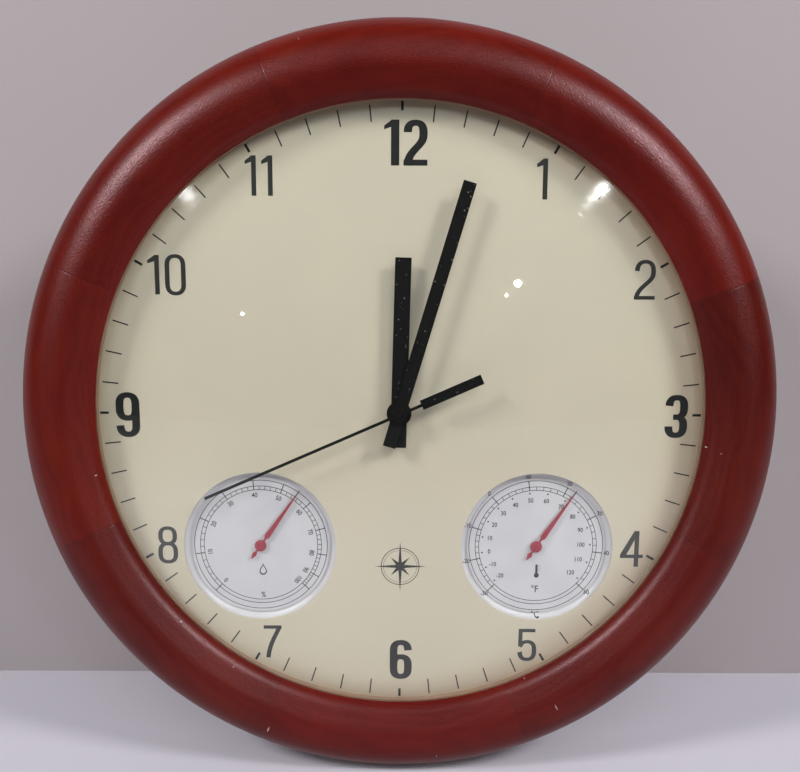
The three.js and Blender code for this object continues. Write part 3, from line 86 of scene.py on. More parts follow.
# Push buttons and battery, in the movement.
BUTTONS_X, BUTTONS = -22.6, {"set": -8, "receive": 2, "reset": 12}
BAY_Y, BAY_Z = -25.5, -13.1


# ---- Node trees


def both_ways(operation):
    """An operator that adds a Math node, and the same with its sides exchanged."""
    return (
        lambda self, other: self.maths(operation, self, other),
        lambda self, other: self.maths(operation, other, self),
    )


class Socket:
    """An output of a node. Sums and products on it add Math nodes."""

    def __init__(self, tree, link):
        self.tree, self.link = tree, link

    def maths(self, operation, *values):
        return self.tree.node("ShaderNodeMath", {"operation": operation}, dict(enumerate(values)))

    def to(self, operation, *values):
        return self.maths(operation, self, *values)

    __add__, __radd__ = both_ways("ADD")
    __sub__, __rsub__ = both_ways("SUBTRACT")
    __mul__, __rmul__ = both_ways("MULTIPLY")
    __truediv__ = both_ways("DIVIDE")[0]
    __pow__ = both_ways("POWER")[0]
    __mod__ = both_ways("FLOORED_MODULO")[0]
    __lt__ = both_ways("LESS_THAN")[0]


class Tree:
    """A node tree, with one method that makes its nodes."""

    def __init__(self, tree):
        self.tree = tree

    def node(self, kind, settings=None, sockets=None, output=0):
        made = self.tree.nodes.new(kind)
        for name, value in (settings or {}).items():
            if name == "stops":
                set_stops(made.color_ramp, value)
            else:
                setattr(made, name, value)
        for name, value in (sockets or {}).items():
            if isinstance(value, Socket):
                self.tree.links.new(value.link, made.inputs[name])
            else:
                made.inputs[name].default_value = value
        return Socket(self, made.outputs[output]) if made.outputs else made

    def joined(self, x, y, z):
        return self.node("ShaderNodeCombineXYZ", {}, {0: x, 1: y, 2: z})


def set_stops(ramp, stops):
    """Flat bands of colour, each from its stop to the next."""
    ramp.interpolation = "CONSTANT"
    while len(ramp.elements) > 1:
        ramp.elements.remove(ramp.elements[-1])
    for i, (position, shade) in enumerate(stops):
        stop = ramp.elements.new(position) if i else ramp.elements[0]
        stop.position, stop.color = position, shade


def colour(code):
    """A colour as it is seen, such as 6e2019, in the linear values that shaders take."""
    seen = [int(code[i : i + 2], 16) / 255 for i in (0, 2, 4)]
    return (*[c / 12.92 if c <= 0.04045 else ((c + 0.055) / 1.055) ** 2.4 for c in seen], 1.0)


class Finish(Tree):
    """A material with one main shader, on the clock's own millimetres."""

    def __init__(self, name):
        self.material = bpy.data.materials.new(name)
        self.material.use_nodes = True
        super().__init__(self.material.node_tree)
        self.tree.nodes.clear()
        self.at = self.vectors("SCALE", self.node("ShaderNodeTexCoord", output="Object"), Scale=1000.0)

    def vectors(self, operation, first, second=None, output=0, **sockets):
        values = {0: first, **({} if second is None else {1: second}), **sockets}
        return self.node("ShaderNodeVectorMath", {"operation": operation}, values, output)

    def split(self, vector):
        return [self.node("ShaderNodeSeparateXYZ", {}, {0: vector}, i) for i in range(3)]

    def length(self, x, y, z):
        return self.vectors("LENGTH", self.joined(x, y, z), output=1)

    def noise(self, scale, detail=3.0, roughness=0.55, at=None, distortion=0.0):
        values = {"Vector": at or self.at, "Scale": scale, "Detail": detail}
        return self.node("ShaderNodeTexNoise", {}, {**values, "Roughness": roughness, "Distortion": distortion})

    def mix(self, share, first, second, blend="MIX"):
        """Blends two colours, each a socket or a code."""
        first, second = [colour(c) if isinstance(c, str) else c for c in (first, second)]
        settings = {"data_type": "RGBA", "blend_type": blend}
        return self.node("ShaderNodeMix", settings, {0: share, 6: first, 7: second}, 2)

    def between(self, value, low, high, to_low=0.0, to_high=1.0):
        values = {"Value": value, 1: low, 2: high, 3: to_low, 4: to_high}
        return self.node("ShaderNodeMapRange", {"interpolation_type": "SMOOTHSTEP"}, values)

    def bump(self, height, strength, distance):
        return self.node("ShaderNodeBump", {}, {"Height": height, "Strength": strength, "Distance": distance})

    def surface(self, **sockets):
        """Principled shader, its sockets named with underscores for spaces."""
        named = {name.replace("_", " "): value for name, value in sockets.items()}
        return self.close(self.node("ShaderNodeBsdfPrincipled", {}, named))

    def close(self, shader):
        self.node("ShaderNodeOutputMaterial", {}, {"Surface": shader})
        return self.material


class Recipe(Tree):
    """A Geometry Nodes tree with named inputs. It ends in Realize Instances and Set Material."""

    def __init__(self, name, inputs):
        super().__init__(bpy.data.node_groups.new(name, "GeometryNodeTree"))
        sockets = self.tree.interface
        sockets.new_socket("Geometry", in_out="OUTPUT", socket_type="NodeSocketGeometry")
        self.names = {}
        for title, kind in {"Geometry": "Geometry", "Finish": "Material", **inputs}.items():
            made = sockets.new_socket(title, in_out="INPUT", socket_type="NodeSocket" + kind)
            self.names[title] = made.identifier
        self.group = self.tree.nodes.new("NodeGroupInput")

    def given(self, title):
        return Socket(self, self.group.outputs[title])

    def at_stations(self, geometry):
        """The geometry at each point of the Stations input, turned clockwise by the point's own turn."""
        points = self.node("GeometryNodeObjectInfo", {}, {"Object": self.given("Stations")}, "Geometry")
        turn = self.node("GeometryNodeInputNamedAttribute", {"data_type": "FLOAT"}, {"Name": "turn"})
        return self.instances(points, geometry, Rotation=self.joined(0.0, 0.0, turn * -1.0))

    def instances(self, points, geometry, **sockets):
        """Closes the tree with the geometry at each point."""
        placed = {"Points": points, "Instance": geometry, **sockets}
        return self.close(self.node("GeometryNodeInstanceOnPoints", {}, placed))

    def close(self, geometry):
        real = self.node("GeometryNodeRealizeInstances", {}, {"Geometry": geometry})
        painted = self.node("GeometryNodeSetMaterial", {}, {"Geometry": real, "Material": self.given("Finish")})
        self.node("NodeGroupOutput", {}, {"Geometry": painted})
        return self


# ---- Ring's section


def arc(x, y, rx, ry, start, end, steps, square=2.0):
    """Points on an ellipse, or on a squarer oval where square is above 2."""
    points = []
    for i in range(steps + 1):
        angle = radians(start + (end - start) * i / steps)
        c, s = cos(angle), sin(angle)
        stretch = 2 / square
        points.append((x + rx * copysign(abs(c) ** stretch, c), y + ry * copysign(abs(s) ** stretch, s)))
    return points


def polar(radius, bearing, x=0.0, y=0.0):
    return x + radius * sin(radians(bearing)), y + radius * cos(radians(bearing))


def ring_front():
    """Front of the ring's section, from the lip over the slope and the crown to the widest place."""
    aside, up = polar(LIP_ROUND, 60)
    lip = arc(LIP_RADIUS + aside, LIP_FRONT - up, LIP_ROUND, LIP_ROUND, 150, SLOPE, 8)
    crown = arc(CROWN_RADIUS, CROWN_HEIGHT - CROWN_ROUND, CROWN_ROUND, CROWN_ROUND, SLOPE, 90, 8)
    (r0, z0), (r1, z1) = lip[-1], crown[0]
    slope = [(r0 + (r1 - r0) * i / 4, z0 + (z1 - z0) * i / 4) for i in (1, 2, 3)]
    outer = arc(CROWN_RADIUS, BULGE, RING_RADIUS - CROWN_RADIUS, CROWN_HEIGHT - BULGE, 90, 0, 26, 2.2)
    return lip + slope + crown + outer[1:]


def ring_station(share):
    """Radius on the ring's front, from its lip at 0 over the crown to its side at 1."""
    line = ring_front()
    lengths = [0.0]
    for (r0, z0), (r1, z1) in zip(line, line[1:]):
        lengths.append(lengths[-1] + hypot(r1 - r0, z1 - z0))
    wanted = share * lengths[-1]
    i = next(i for i, length in enumerate(lengths[1:]) if length >= wanted)
    part = (wanted - lengths[i]) / (lengths[i + 1] - lengths[i])
    return line[i][0] + part * (line[i + 1][0] - line[i][0])


# ---- Finishes

# Knocks in the lacquer: bearing, share of the way across the ring, half width, half length and strength.
KNOCKS = [
    (96.5, 0.19, 0.24, 0.35, 0.35), (95.8, 0.06, 0.28, 0.40, 0.8), (151.6, 0.40, 0.20, 1.3, 0.6),
    (173.5, 0.56, 0.18, 0.9, 0.5), (202.2, 0.50, 0.30, 1.4, 0.8), (212.8, 0.11, 0.22, 0.4, 0.5),
    (226.0, 0.07, 0.26, 0.4, 0.7), (258.4, 0.06, 0.25, 0.5, 0.6), (154.6, 0.05, 0.20, 0.3, 0.4),
    (345.0, 0.62, 0.15, 0.6, 0.4),
]
SCRATCHES = [(306.8, 0.54, 0.22, 2.4, 0.7), (303.8, 0.62, 0.2, 2.8, 0.7), (308.6, 0.50, 0.2, 1.2, 0.6)]
BOARD_TONES = ["5e0b03", "4e0a03", "4f0803", "540904", "4f0903", "5b0d03", "5d0c03", "5e0c03"]


def stained_wood():
    """Boards glued end to end, turned, stained mahogany red and lacquered."""
    wood = Finish("stained_wood")
    x, depth, z = wood.split(wood.at)
    board_angle = 2 * pi / BOARD_COUNT
    turn = (x.to("ARCTAN2", z) - FIRST_JOINT) / board_angle
    board = turn.to("FLOOR")
    middle = (board + 0.5) * board_angle + FIRST_JOINT
    across_x, across_z = middle.to("SINE"), middle.to("COSINE")
    along = x * across_z - z * across_x
    across = x * across_x + z * across_z
    number = board % BOARD_COUNT
    chance = wood.node("ShaderNodeTexWhiteNoise", {"noise_dimensions": "1D"}, {"W": number}, 1)
    chance_a, chance_b, chance_c = wood.split(chance)

    # Growth rings stand round a pith that runs along each board, so they cross the turned face in long arches.
    drift = wood.noise(0.022, 2.0, at=wood.joined(along * 0.5, across + chance_a * 300, depth)) - 0.5
    pith = wood.length(0.0, across - 150 + (chance_b - 0.5) * 26, depth - 46 - chance_c * 30)
    growth = (((pith + drift * 16) * 0.62 * 2 * pi).to("SINE") + 1) * 0.5
    fibre = wood.noise(1.0, 4.0, 0.6, at=wood.joined(along * 0.05, across * 1.5 + chance_a * 60, depth * 1.5))
    pore_at = wood.joined(along * 0.22, across * 3.6 + chance_b * 40, depth * 3.6)
    pores = wood.between(wood.noise(1.0, 2.0, 0.5, at=pore_at), 0.60, 0.74)
    cloud_at = wood.vectors("ADD", wood.at, wood.joined(chance_c * 90, 0.0, chance_a * 90))
    grain = growth * 0.14 + fibre * 0.5 + wood.noise(0.028, 3.0, 0.5, at=cloud_at) * 0.8 - pores * 0.03
    stops = [(i / BOARD_COUNT, colour(tone)) for i, tone in enumerate(BOARD_TONES)]
    shade = wood.node("ShaderNodeValToRGB", {"stops": stops}, {0: (number + 0.5) / BOARD_COUNT})
    dark, light = wood.mix(1.0, shade, "dccdc9", "MULTIPLY"), wood.mix(0.035, shade, "b4522c")
    stain = wood.mix(wood.between(grain, 0.35, 1.05), dark, light)

    # Joints between the boards.
    from_joint = ((turn - turn.to("ROUND")) * board_angle * wood.length(x, 0.0, z)).to("ABSOLUTE")
    glue = 1 - wood.between(from_joint, 0.08, 0.45)
    stain = wood.mix(glue * 0.34, stain, "2c0b08")

    ragged = (wood.noise(1.9, 2.0) - 0.5) * 1.5
    front = depth < (DIAL_PLANE * 1000 + 6)

    def marks(places):
        found = 0.0
        for bearing, share, half_width, half_length, strength in places:
            sine, cosine = polar(1, bearing)
            mark_x, mark_z = polar(ring_station(share), bearing)
            off_x, off_z = x - mark_x, z - mark_z
            aside = (off_x * cosine - off_z * sine) / half_width
            outward = (off_x * sine + off_z * cosine) / half_length
            mark = (1 - wood.between(wood.length(aside, 0.0, outward) + ragged, 0.75, 1.25)) * strength
            found = mark.to("MAXIMUM", found)
        return found * front

    knocked, scratched = marks(KNOCKS), marks(SCRATCHES)
    stain = wood.mix(scratched, wood.mix(knocked, stain, "c9b9b2"), "35100c")

    # The lacquer follows the open grain, so a lamp's highlight is spread across the ring and broken into specks.
    peel = wood.noise(1.9, 2.0, 0.6)
    furrows = wood.noise(1.0, 2.0, 0.6, at=wood.joined(along * 0.6, across * 1.8, depth * 1.8))
    skin = furrows * 0.7 + peel * 0.5 - knocked * 1.2 - scratched - glue * 0.25
    return wood.surface(
        Base_Color=stain, Roughness=wood.between(peel, 0.38, 0.62, 0.30, 0.39) + knocked * 0.3,
        Specular_IOR_Level=0.25, Specular_Tint=(1.0, 0.72, 0.76, 1), Normal=wood.bump(skin, 1.0, 0.0001),
    )


def clear_glass():
    """Thin window glass. A cloth's round wiping marks draw a lamp's image out towards the middle."""
    glass = Finish("clear_glass")
    x, depth, z = glass.split(glass.at)
    wiped_at = glass.joined(glass.length(x, 0.0, z) * 2.5, x.to("ARCTAN2", z) * 5, 0.0)
    wiped = glass.noise(1.0, 3.0, 0.6, at=wiped_at)
    film = glass.between(glass.noise(0.03, 3.0, 0.6), 0.35, 0.7, 0.004, 0.014) + glass.between(x, -50, -100) * 0.02

    def gloss(**sockets):
        return glass.node("ShaderNodeBsdfAnisotropic", {}, {"Color": (1, 1, 1, 1), **sockets})

    clean, smeared = gloss(Roughness=0.015), gloss(Roughness=0.07, Normal=glass.bump(wiped, 1.0, 0.000018))
    mirror = glass.node("ShaderNodeMixShader", {}, {0: film, 1: clean, 2: smeared})
    clear = glass.node("ShaderNodeBsdfTransparent", {}, {"Color": colour("fdfefd")})
    facing = glass.node("ShaderNodeLayerWeight", {}, {"Blend": 0.5}, "Facing")
    return glass.close(glass.node("ShaderNodeMixShader", {}, {0: facing**5 * 0.96 + 0.04, 1: clear, 2: mirror}))


def cream_paint():
    """Satin paint on sheet, faintly mottled and a little darker and yellower towards the rim, with painted shade of the
    ring's lip in a brown band along the rim.
    """
    paint = Finish("cream_paint")
    x, depth, z = paint.split(paint.at)
    radius = paint.length(x, 0.0, z)
    cloud, speck = paint.noise(0.012, 3.0, 0.5), paint.noise(2.6, 2.0, 0.5)
    base = paint.mix(paint.between(cloud, 0.3, 0.7), "cec4b0", "d3c8b3")
    base = paint.mix(paint.between(radius, 100, 146) * 0.5, base, "cdc2a9")
    # Painted shade: a brown band along the rim where the ring's lip shades the dial, deeper on the right side.
    base = paint.mix(paint.between(radius + x * 0.05, 128, 144) * 0.5, base, "b2937b")
    base = paint.mix(paint.between(speck, 0.62, 0.75) * 0.25, base, "bfb5a0")
    return paint.surface(Base_Color=base, Roughness=0.5 + cloud * 0.12, Normal=paint.bump(speck, 0.08, 0.0002))


def moulded(name, main, second, roughness, grain=1.6, depth=0.10):
    """Moulded plastic or rubber: an even colour with a faint flow pattern and a fine spark-eroded skin."""
    plastic = Finish(name)
    flow, skin = plastic.noise(0.06, 3.0, 0.5), plastic.noise(grain, 2.0, 0.6)
    base = plastic.mix(plastic.between(flow, 0.3, 0.7), main, second)
    base = plastic.mix(plastic.between(skin, 0.66, 0.8) * 0.3, base, second)
    rough = plastic.between(skin, 0.2, 0.8, roughness - 0.06, roughness + 0.08)
    return plastic.surface(Base_Color=base, Roughness=rough, Normal=plastic.bump(skin, depth, 0.0002))


def metal(name, main, second, roughness):
    """Plain or plated metal: rolled along one way, with patches of tarnish."""
    plate = Finish(name)
    rolled_at = plate.node("ShaderNodeMapping", {}, {0: plate.at, "Scale": (0.15, 1.0, 4.0)})
    rolled = plate.noise(1.2, 4.0, 0.65, at=rolled_at)
    patches = plate.between(plate.noise(0.18, 4.0, 0.6), 0.42, 0.72)
    base = plate.mix(patches * 0.5, main, second)
    base = plate.mix(plate.between(rolled, 0.4, 0.8) * 0.35, base, second)
    rough = plate.between(rolled, 0.2, 0.8, roughness - 0.08, roughness + 0.1) + patches * 0.1
    return plate.surface(Base_Color=base, Roughness=rough, Metallic=1.0, Normal=plate.bump(rolled, 0.12, 0.0001))


def black_paint():
    """Matt black on pressed sheet, with settled dust and wiping marks."""
    paint = Finish("black_paint")
    dust = paint.between(paint.noise(2.0, 2.0, 0.6), 0.72, 0.76)
    film = paint.between(paint.noise(0.12, 3.0, 0.6), 0.35, 0.75)
    line_at = paint.node("ShaderNodeMapping", {}, {0: paint.at, "Rotation": (0, 0.35, 0), "Scale": (2.4, 1, 0.12)})
    lines = paint.between(paint.noise(1.4, 3.0, 0.6, at=line_at), 0.62, 0.78)
    base = paint.mix(dust * 0.6, paint.mix(film * 0.5, "040404", "0a0908"), "77776f")
    base = paint.mix(lines * 0.03, base, "4a4a46")
    return paint.surface(
        Base_Color=base, Roughness=0.72 + film * 0.12, Specular_IOR_Level=0.12,
        Normal=paint.bump(lines + dust, 0.2, 0.0001),
    )


def hardboard():
    """Brown pressed fibre board with its smooth side out."""
    board = Finish("hardboard")
    fibres = board.noise(0.9, 5.0, 0.7, distortion=1.5)
    base = board.mix(board.between(fibres, 0.3, 0.7), "6b4b32", "8a6746")
    base = board.mix(board.between(board.noise(2.2, 3.0, 0.6), 0.6, 0.72) * 0.5, base, "4a3120")
    base = board.mix(board.between(board.noise(0.03, 3.0), 0.35, 0.7) * 0.3, base, "95724e")
    return board.surface(Base_Color=base, Roughness=0.85, Normal=board.bump(fibres, 0.35, 0.0004))


def copper_wire():
    """Enamelled wire, laid turn beside turn."""
    wire = Finish("copper_wire")
    x, depth, z = wire.split(wire.at)
    turns = ((x + z) * 2 * pi * 2.6).to("SINE")
    stray = wire.noise(0.5, 2.0)
    base = wire.mix(wire.between(stray, 0.3, 0.7), "8c4520", "b5652f")
    rough = wire.between(stray, 0.3, 0.7, 0.25, 0.4)
    return wire.surface(Base_Color=base, Roughness=rough, Metallic=0.85, Normal=wire.bump(turns, 0.6, 0.0001))


def circuit_green():
    """Green lacquer over copper tracks."""
    board = Finish("circuit_green")
    x, depth, z = board.split(board.at)
    lanes = board.noise(0.35, 1.0, at=board.joined(x.to("SNAP", 1.2), 0.0, z.to("SNAP", 4.0)))
    tracks = board.between(lanes, 0.5, 0.54)
    base = board.mix(tracks, "154a2a", "2a6b3c")
    skin = board.bump(tracks, 0.3, 0.0001)
    return board.surface(Base_Color=base, Roughness=board.noise(1.0) * 0.2 + 0.3, Normal=skin)


def battery_sleeve():
    """Plain shrunk sleeve in two bands, glossy, with fine wrinkles near its ends."""
    film = Finish("battery_sleeve")
    x, depth, z = film.split(film.at)
    band = film.between(x, 9.5, 9.8)
    scuffs = film.between(film.noise(0.9, 4.0, 0.65), 0.6, 0.75)
    base = film.mix(scuffs * 0.3, film.mix(band, "27323f", "a6823f"), "8d8f90")
    skin = film.bump(film.noise(0.8, 2.0, at=film.joined(x * 2.5, depth, z)), 0.12, 0.0003)
    return film.surface(Base_Color=base, Roughness=0.3 + scuffs * 0.2, Metallic=band * 0.6, Normal=skin)


def pointer_red():
    """Red lacquer that darkens to black at the pointers' tips."""
    paint = Finish("pointer_red")
    x, depth, z = paint.split(paint.at)
    pivot_x, pivot_y = INSTRUMENTS["temperature"][:2]
    from_pivot = paint.length(x.to("ABSOLUTE") - pivot_x, 0.0, z - pivot_y)
    blotch = paint.noise(1.1, 3.0)
    base = paint.mix(paint.between(blotch, 0.35, 0.7), "961f32", "a42d3f")
    base = paint.mix(paint.between(from_pivot, 28.0, 31.5) * 0.85, base, "2a1d20")
    skin = paint.bump(blotch, 0.08, 0.0001)
    return paint.surface(Base_Color=base, Roughness=0.38 + blotch * 0.12, Specular_IOR_Level=0.2, Normal=skin)


def dial_ink(name, main, second):
    """Screen-printed ink, slightly thin in places."""
    ink = Finish(name)
    thin = ink.between(ink.noise(0.9, 4.0, 0.65), 0.45, 0.75)
    skin = ink.bump(ink.noise(5.0, 1.0), 0.08, 0.00005)
    base = ink.mix(thin * 0.6, main, second)
    return ink.surface(Base_Color=base, Roughness=0.55 + thin * 0.15, Specular_IOR_Level=0.18, Normal=skin)


MOULDED = {
    # cream_plastic: the spacer's cream is darkened to a brown beige, painted shade of the ring's lip on the spacer.
    "cream_plastic": ("a38672", "9b7f6c", 0.42),
    "black_plastic": ("17181a", "222326", 0.5),
    "grey_plastic": ("8b8e92", "7c8085", 0.5),
    "white_plastic": ("d5d2d8", "cfccd2", 0.4, 1.2, 0.05),
    "gear_plastic": ("dedacb", "cfc9b6", 0.45),
    "ferrite": ("2b2b2e", "38383b", 0.7, 2.0, 0.3),
    "gasket_rubber": ("1d1d1d", "292929", 0.8, 1.0, 0.3),
    "printed_white": ("d4d1d7", "cecbd2", 0.5, 2.2, 0.04),
}
METALS = {
    "zinc_plated_steel": ("b9babb", "8f9190", 0.36),
    "brass_parts": ("b8954f", "8a6a33", 0.34),
    "motor_iron": ("57585c", "3c3a3a", 0.5),
}
OTHERS = (
    stained_wood, clear_glass, cream_paint, hardboard, black_paint, copper_wire, circuit_green, battery_sleeve,
    pointer_red,
)
FINISHES = {name: moulded(name, *look) for name, look in MOULDED.items()}
FINISHES.update({name: metal(name, *look) for name, look in METALS.items()})
FINISHES.update({make.__name__: make() for make in OTHERS})
BLACK_INK = dial_ink("black_ink", "0c0d0f", "1c1d1f")
GREY_INK = dial_ink("grey_ink", "222321", "31322f")
SCALE_INK = dial_ink("scale_ink", "26272b", "3a3b40")
LINT = moulded("lint", "b9b6b0", "94918b", 0.9, 3.0, 0.4)


# ---- Outlines and blanks, in face millimetres


def circle(radius, steps, centre=(0.0, 0.0)):
    return arc(*centre, radius, radius, 0, 360 - 360 / steps, steps - 1)


def rectangle(left, bottom, right, top):
    return [(left, bottom), (right, bottom), (right, top), (left, top)]


def rounded(left, bottom, right, top, radius, steps=6):
    points = []
    for x, y, start in ((right, top, 0), (left, top, 90), (left, bottom, 180), (right, bottom, 270)):
        inner_x = x - radius if x == right else x + radius
        inner_y = y - radius if y == top else y + radius
        points += arc(inner_x, inner_y, radius, radius, start, start + 90, steps)
    return points


def curve(start, first, second, end, steps=14):
    points = []
    for i in range(steps + 1):
        t = i / steps
        weights = ((1 - t) ** 3, 3 * t * (1 - t) ** 2, 3 * t * t * (1 - t), t**3)
        points.append(tuple(sum(w * p[k] for w, p in zip(weights, (start, first, second, end))) for k in (0, 1)))
    return points


def mirrored(points):
    """The same line on the other side of the upright axis, walked back."""
    return [(-x, y) for x, y in reversed(points)]


def shell(points, faces):
    blank = bmesh.new()
    verts = [blank.verts.new(p) for p in points]
    for face in faces:
        if len(set(face)) > 2:
            blank.faces.new([verts[i] for i in dict.fromkeys(face)])
    bmesh.ops.recalc_face_normals(blank, faces=blank.faces)
    return blank


def plate(outline, back, front, holes=()):
    """A flat sheet between two heights, with its caps in triangles."""
    loops = [outline, *holes]
    flat = [point for loop in loops for point in loop]
    count = len(flat)
    caps = tessellate_polygon([[Vector((*p, 0)) for p in loop] for loop in loops])
    faces = [tuple(t) for t in caps] + [tuple(i + count for i in reversed(t)) for t in caps]
    start = 0
    for loop in loops:
        for i in range(len(loop)):
            a, b = start + i, start + (i + 1) % len(loop)
            faces.append((a, b, b + count, a + count))
        start += len(loop)
    return shell([(*p, back) for p in flat] + [(*p, front) for p in flat], faces)


def printed(outline, holes=(), level=0.0):
    return plate(outline, level - 0.01, level + PRINT_LIFT, holes)


def turned(profile, steps, centre=(0.0, 0.0)):
    """A profile of radius and height turned about an axis. It closes on itself unless it ends on the axis."""
    points, rows = [], []
    for radius, height in profile:
        if radius < 1e-9:
            rows.append([len(points)] * steps)
            points.append((*centre, height))
        else:
            rows.append(list(range(len(points), len(points) + steps)))
            points += [(x, y, height) for x, y in circle(radius, steps, centre)]
    pairs = list(zip(rows, rows[1:]))
    if profile[0][0] > 0:
        pairs.append((rows[-1], rows[0]))
    faces = []
    for low, high in pairs:
        for i in range(steps):
            j = (i + 1) % steps
            faces.append((low[i], low[j], high[j], high[i]))
    return shell(points, faces)


def disc(radius, back, front, steps=32, centre=(0.0, 0.0)):
    return turned([(0, back), (radius, back), (radius, front), (0, front)], steps, centre)


def sleeve(inner, outer, back, front, steps, centre=(0.0, 0.0)):
    """A plain tube."""
    return turned([(inner, back), (outer, back), (outer, front), (inner, front)], steps, centre)


def together(*blanks):
    """Blanks laid side by side in one mesh."""
    whole = bmesh.new()
    for blank in blanks:
        part = bpy.data.meshes.new("part")
        blank.to_mesh(part)
        whole.from_mesh(part)
        bpy.data.meshes.remove(part)
        blank.free()
    return whole


def moved(blank, x=0.0, y=0.0, z=0.0, turn=0.0):
    """Turned clockwise by so many degrees about the face's middle, then shifted."""
    blank.transform(Matrix.Translation((x, y, z)) @ Matrix.Rotation(-radians(turn), 4, "Z"))
    return blank


def eased(blank, width, steps=2, limit=30):
    """Edges sharper than the limit are rounded over."""
    sharp = [e for e in blank.edges if e.is_manifold and degrees(e.calc_face_angle()) > limit]
    bmesh.ops.bevel(
        blank, geom=sharp, offset=width, offset_type="OFFSET", segments=steps, profile=0.5, affect="EDGES",
        clamp_overlap=True,
    )
    return blank


def as_object(blank, name):
    mesh = bpy.data.meshes.new(name)
    blank.to_mesh(mesh)
    blank.free()
    made = bpy.data.objects.new(name, mesh)
    bpy.context.scene.collection.objects.link(made)
    return made


def evaluated(made):
    """The object's mesh with its modifiers worked in."""
    bpy.context.view_layer.update()
    return bpy.data.meshes.new_from_object(made.evaluated_get(bpy.context.evaluated_depsgraph_get()))


def discard(*things):
    for made in things:
        mesh = made.data
        bpy.data.objects.remove(made)
        bpy.data.meshes.remove(mesh)


def combined(operation, blank, *tools):
    """The blank with tools cut from it or joined to it."""
    body = as_object(blank, "blank")
    cutters = [as_object(tool, "tool") for tool in tools]
    for cutter in cutters:
        step = body.modifiers.new("step", "BOOLEAN")
        step.operation, step.object, step.solver = operation, cutter, "EXACT"
    mesh = evaluated(body)
    result = bmesh.new()
    result.from_mesh(mesh)
    bpy.data.meshes.remove(mesh)
    discard(body, *cutters)
    bmesh.ops.remove_doubles(result, verts=result.verts, dist=1e-5)
    bmesh.ops.dissolve_degenerate(result, edges=result.edges, dist=1e-5)
    return result


def cut(blank, *tools):
    return combined("DIFFERENCE", blank, *tools)


def fused(blank, *tools):
    return combined("UNION", blank, *tools)


def settle(made, name, slot, material, body, stands_for, smooth):
    """Gives a mesh its name, finish and body, and hides the solids it stands for."""
    made.name = made.data.name = name
    made.data.materials.clear()
    made.data.materials.append(material or FINISHES[slot])
    if smooth is not None:
        made.data.shade_smooth()
        made.data.set_sharp_from_angle(angle=radians(smooth))
    made.data.transform(FACE)
    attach(made, body)
    if stands_for:
        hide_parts(*stands_for)


def piece(name, blank, slot, body="case", stands_for=(), material=None, smooth=20):
    settle(as_object(blank, name), name, slot, material, body, stands_for, smooth)


# ---- Recipes for what repeats or follows a line


def radial_marks():
    """A bar at each station, pointing outwards from it."""
    sizes = {title: "Float" for title in ("Inner Radius", "Length", "Width", "Thickness")}
    marks = Recipe("radial_marks", {"Stations": "Object", **sizes})
    size = marks.joined(marks.given("Width"), marks.given("Length"), marks.given("Thickness"))
    bar = marks.node("GeometryNodeMeshCube", {}, {"Size": size})
    outward = marks.joined(0.0, marks.given("Inner Radius") + marks.given("Length") * 0.5, 0.0)
    return marks.at_stations(marks.node("GeometryNodeTransform", {}, {"Geometry": bar, "Translation": outward}))


def copies():
    """The drawn piece again at each station, turned with it."""
    again = Recipe("copies", {"Stations": "Object"})
    return again.at_stations(again.given("Geometry"))


def settled_dust():
    """Specks and short fibres scattered on a surface."""
    dust = Recipe("settled_dust", {"Density": "Float", "Seed": "Int", "Size": "Float", "Stretch": "Float"})
    seed = dust.given("Seed")
    points = dust.node("GeometryNodeDistributePointsOnFaces", {}, {
        "Mesh": dust.given("Geometry"), "Density": dust.given("Density"), "Seed": seed,
    })
    speck = dust.node("GeometryNodeMeshIcoSphere", {}, {"Radius": dust.given("Size"), "Subdivisions": 1})
    long_way = dust.joined(dust.given("Stretch"), 1.0, 0.45)
    fleck = dust.node("GeometryNodeTransform", {}, {"Geometry": speck, "Scale": long_way})
    spin = dust.node("FunctionNodeRandomValue", {"data_type": "FLOAT_VECTOR"}, {
        "Min": (0.0, 0.0, 0.0), "Max": (0.0, 0.0, 6.283), "Seed": seed,
    })
    grow = dust.node("FunctionNodeRandomValue", {"data_type": "FLOAT"}, {2: 0.35, 3: 1.3, "Seed": seed + 1}, 1)
    return dust.instances(points, fleck, Rotation=spin, Scale=grow)


def wound_strip():
    """A flat strip wound in a spiral, standing on its edge."""
    titles = ("Turns", "Inner Radius", "Outer Radius", "Rise", "Strip Thickness", "Strip Width")
    coil = Recipe("wound_strip", {title: "Float" for title in titles})
    turns, inner, outer, rise, thickness, width = [coil.given(title) for title in titles]
    line = coil.node("GeometryNodeCurveSpiral", {}, {
        "Resolution": 48, "Rotations": turns, "Start Radius": inner, "End Radius": outer, "Height": rise,
    })
    section = coil.node("GeometryNodeCurvePrimitiveQuadrilateral", {"mode": "RECTANGLE"}, {
        "Width": thickness, "Height": width,
    })
    upright = coil.node("GeometryNodeSetCurveNormal", {"mode": "Z_UP"}, {"Curve": line})
    ends = {"Curve": upright, "Profile Curve": section, "Fill Caps": True}
    return coil.close(coil.node("GeometryNodeCurveToMesh", {}, ends))


def in_a_row():
    """The drawn piece repeated along a line."""
    row = Recipe("in_a_row", {"Count": "Int", "Step": "Vector"})
    line = row.node("GeometryNodeMeshLine", {}, {"Count": row.given("Count"), "Offset": row.given("Step")})
    return row.instances(line, row.given("Geometry"))


MARKS, COPIES, DUST, STRIP, ROW = radial_marks(), copies(), settled_dust(), wound_strip(), in_a_row()


def stations(places):
    """Points that a recipe reads: x, y, z and the turn in degrees, clockwise from twelve."""
    mesh = bpy.data.meshes.new("stations")
    mesh.from_pydata([place[:3] for place in places], [], [])
    turns = mesh.attributes.new("turn", "FLOAT", "POINT")
    turns.data.foreach_set("value", [radians(place[3]) for place in places])
    made = bpy.data.objects.new("stations", mesh)
    bpy.context.scene.collection.objects.link(made)
    return made


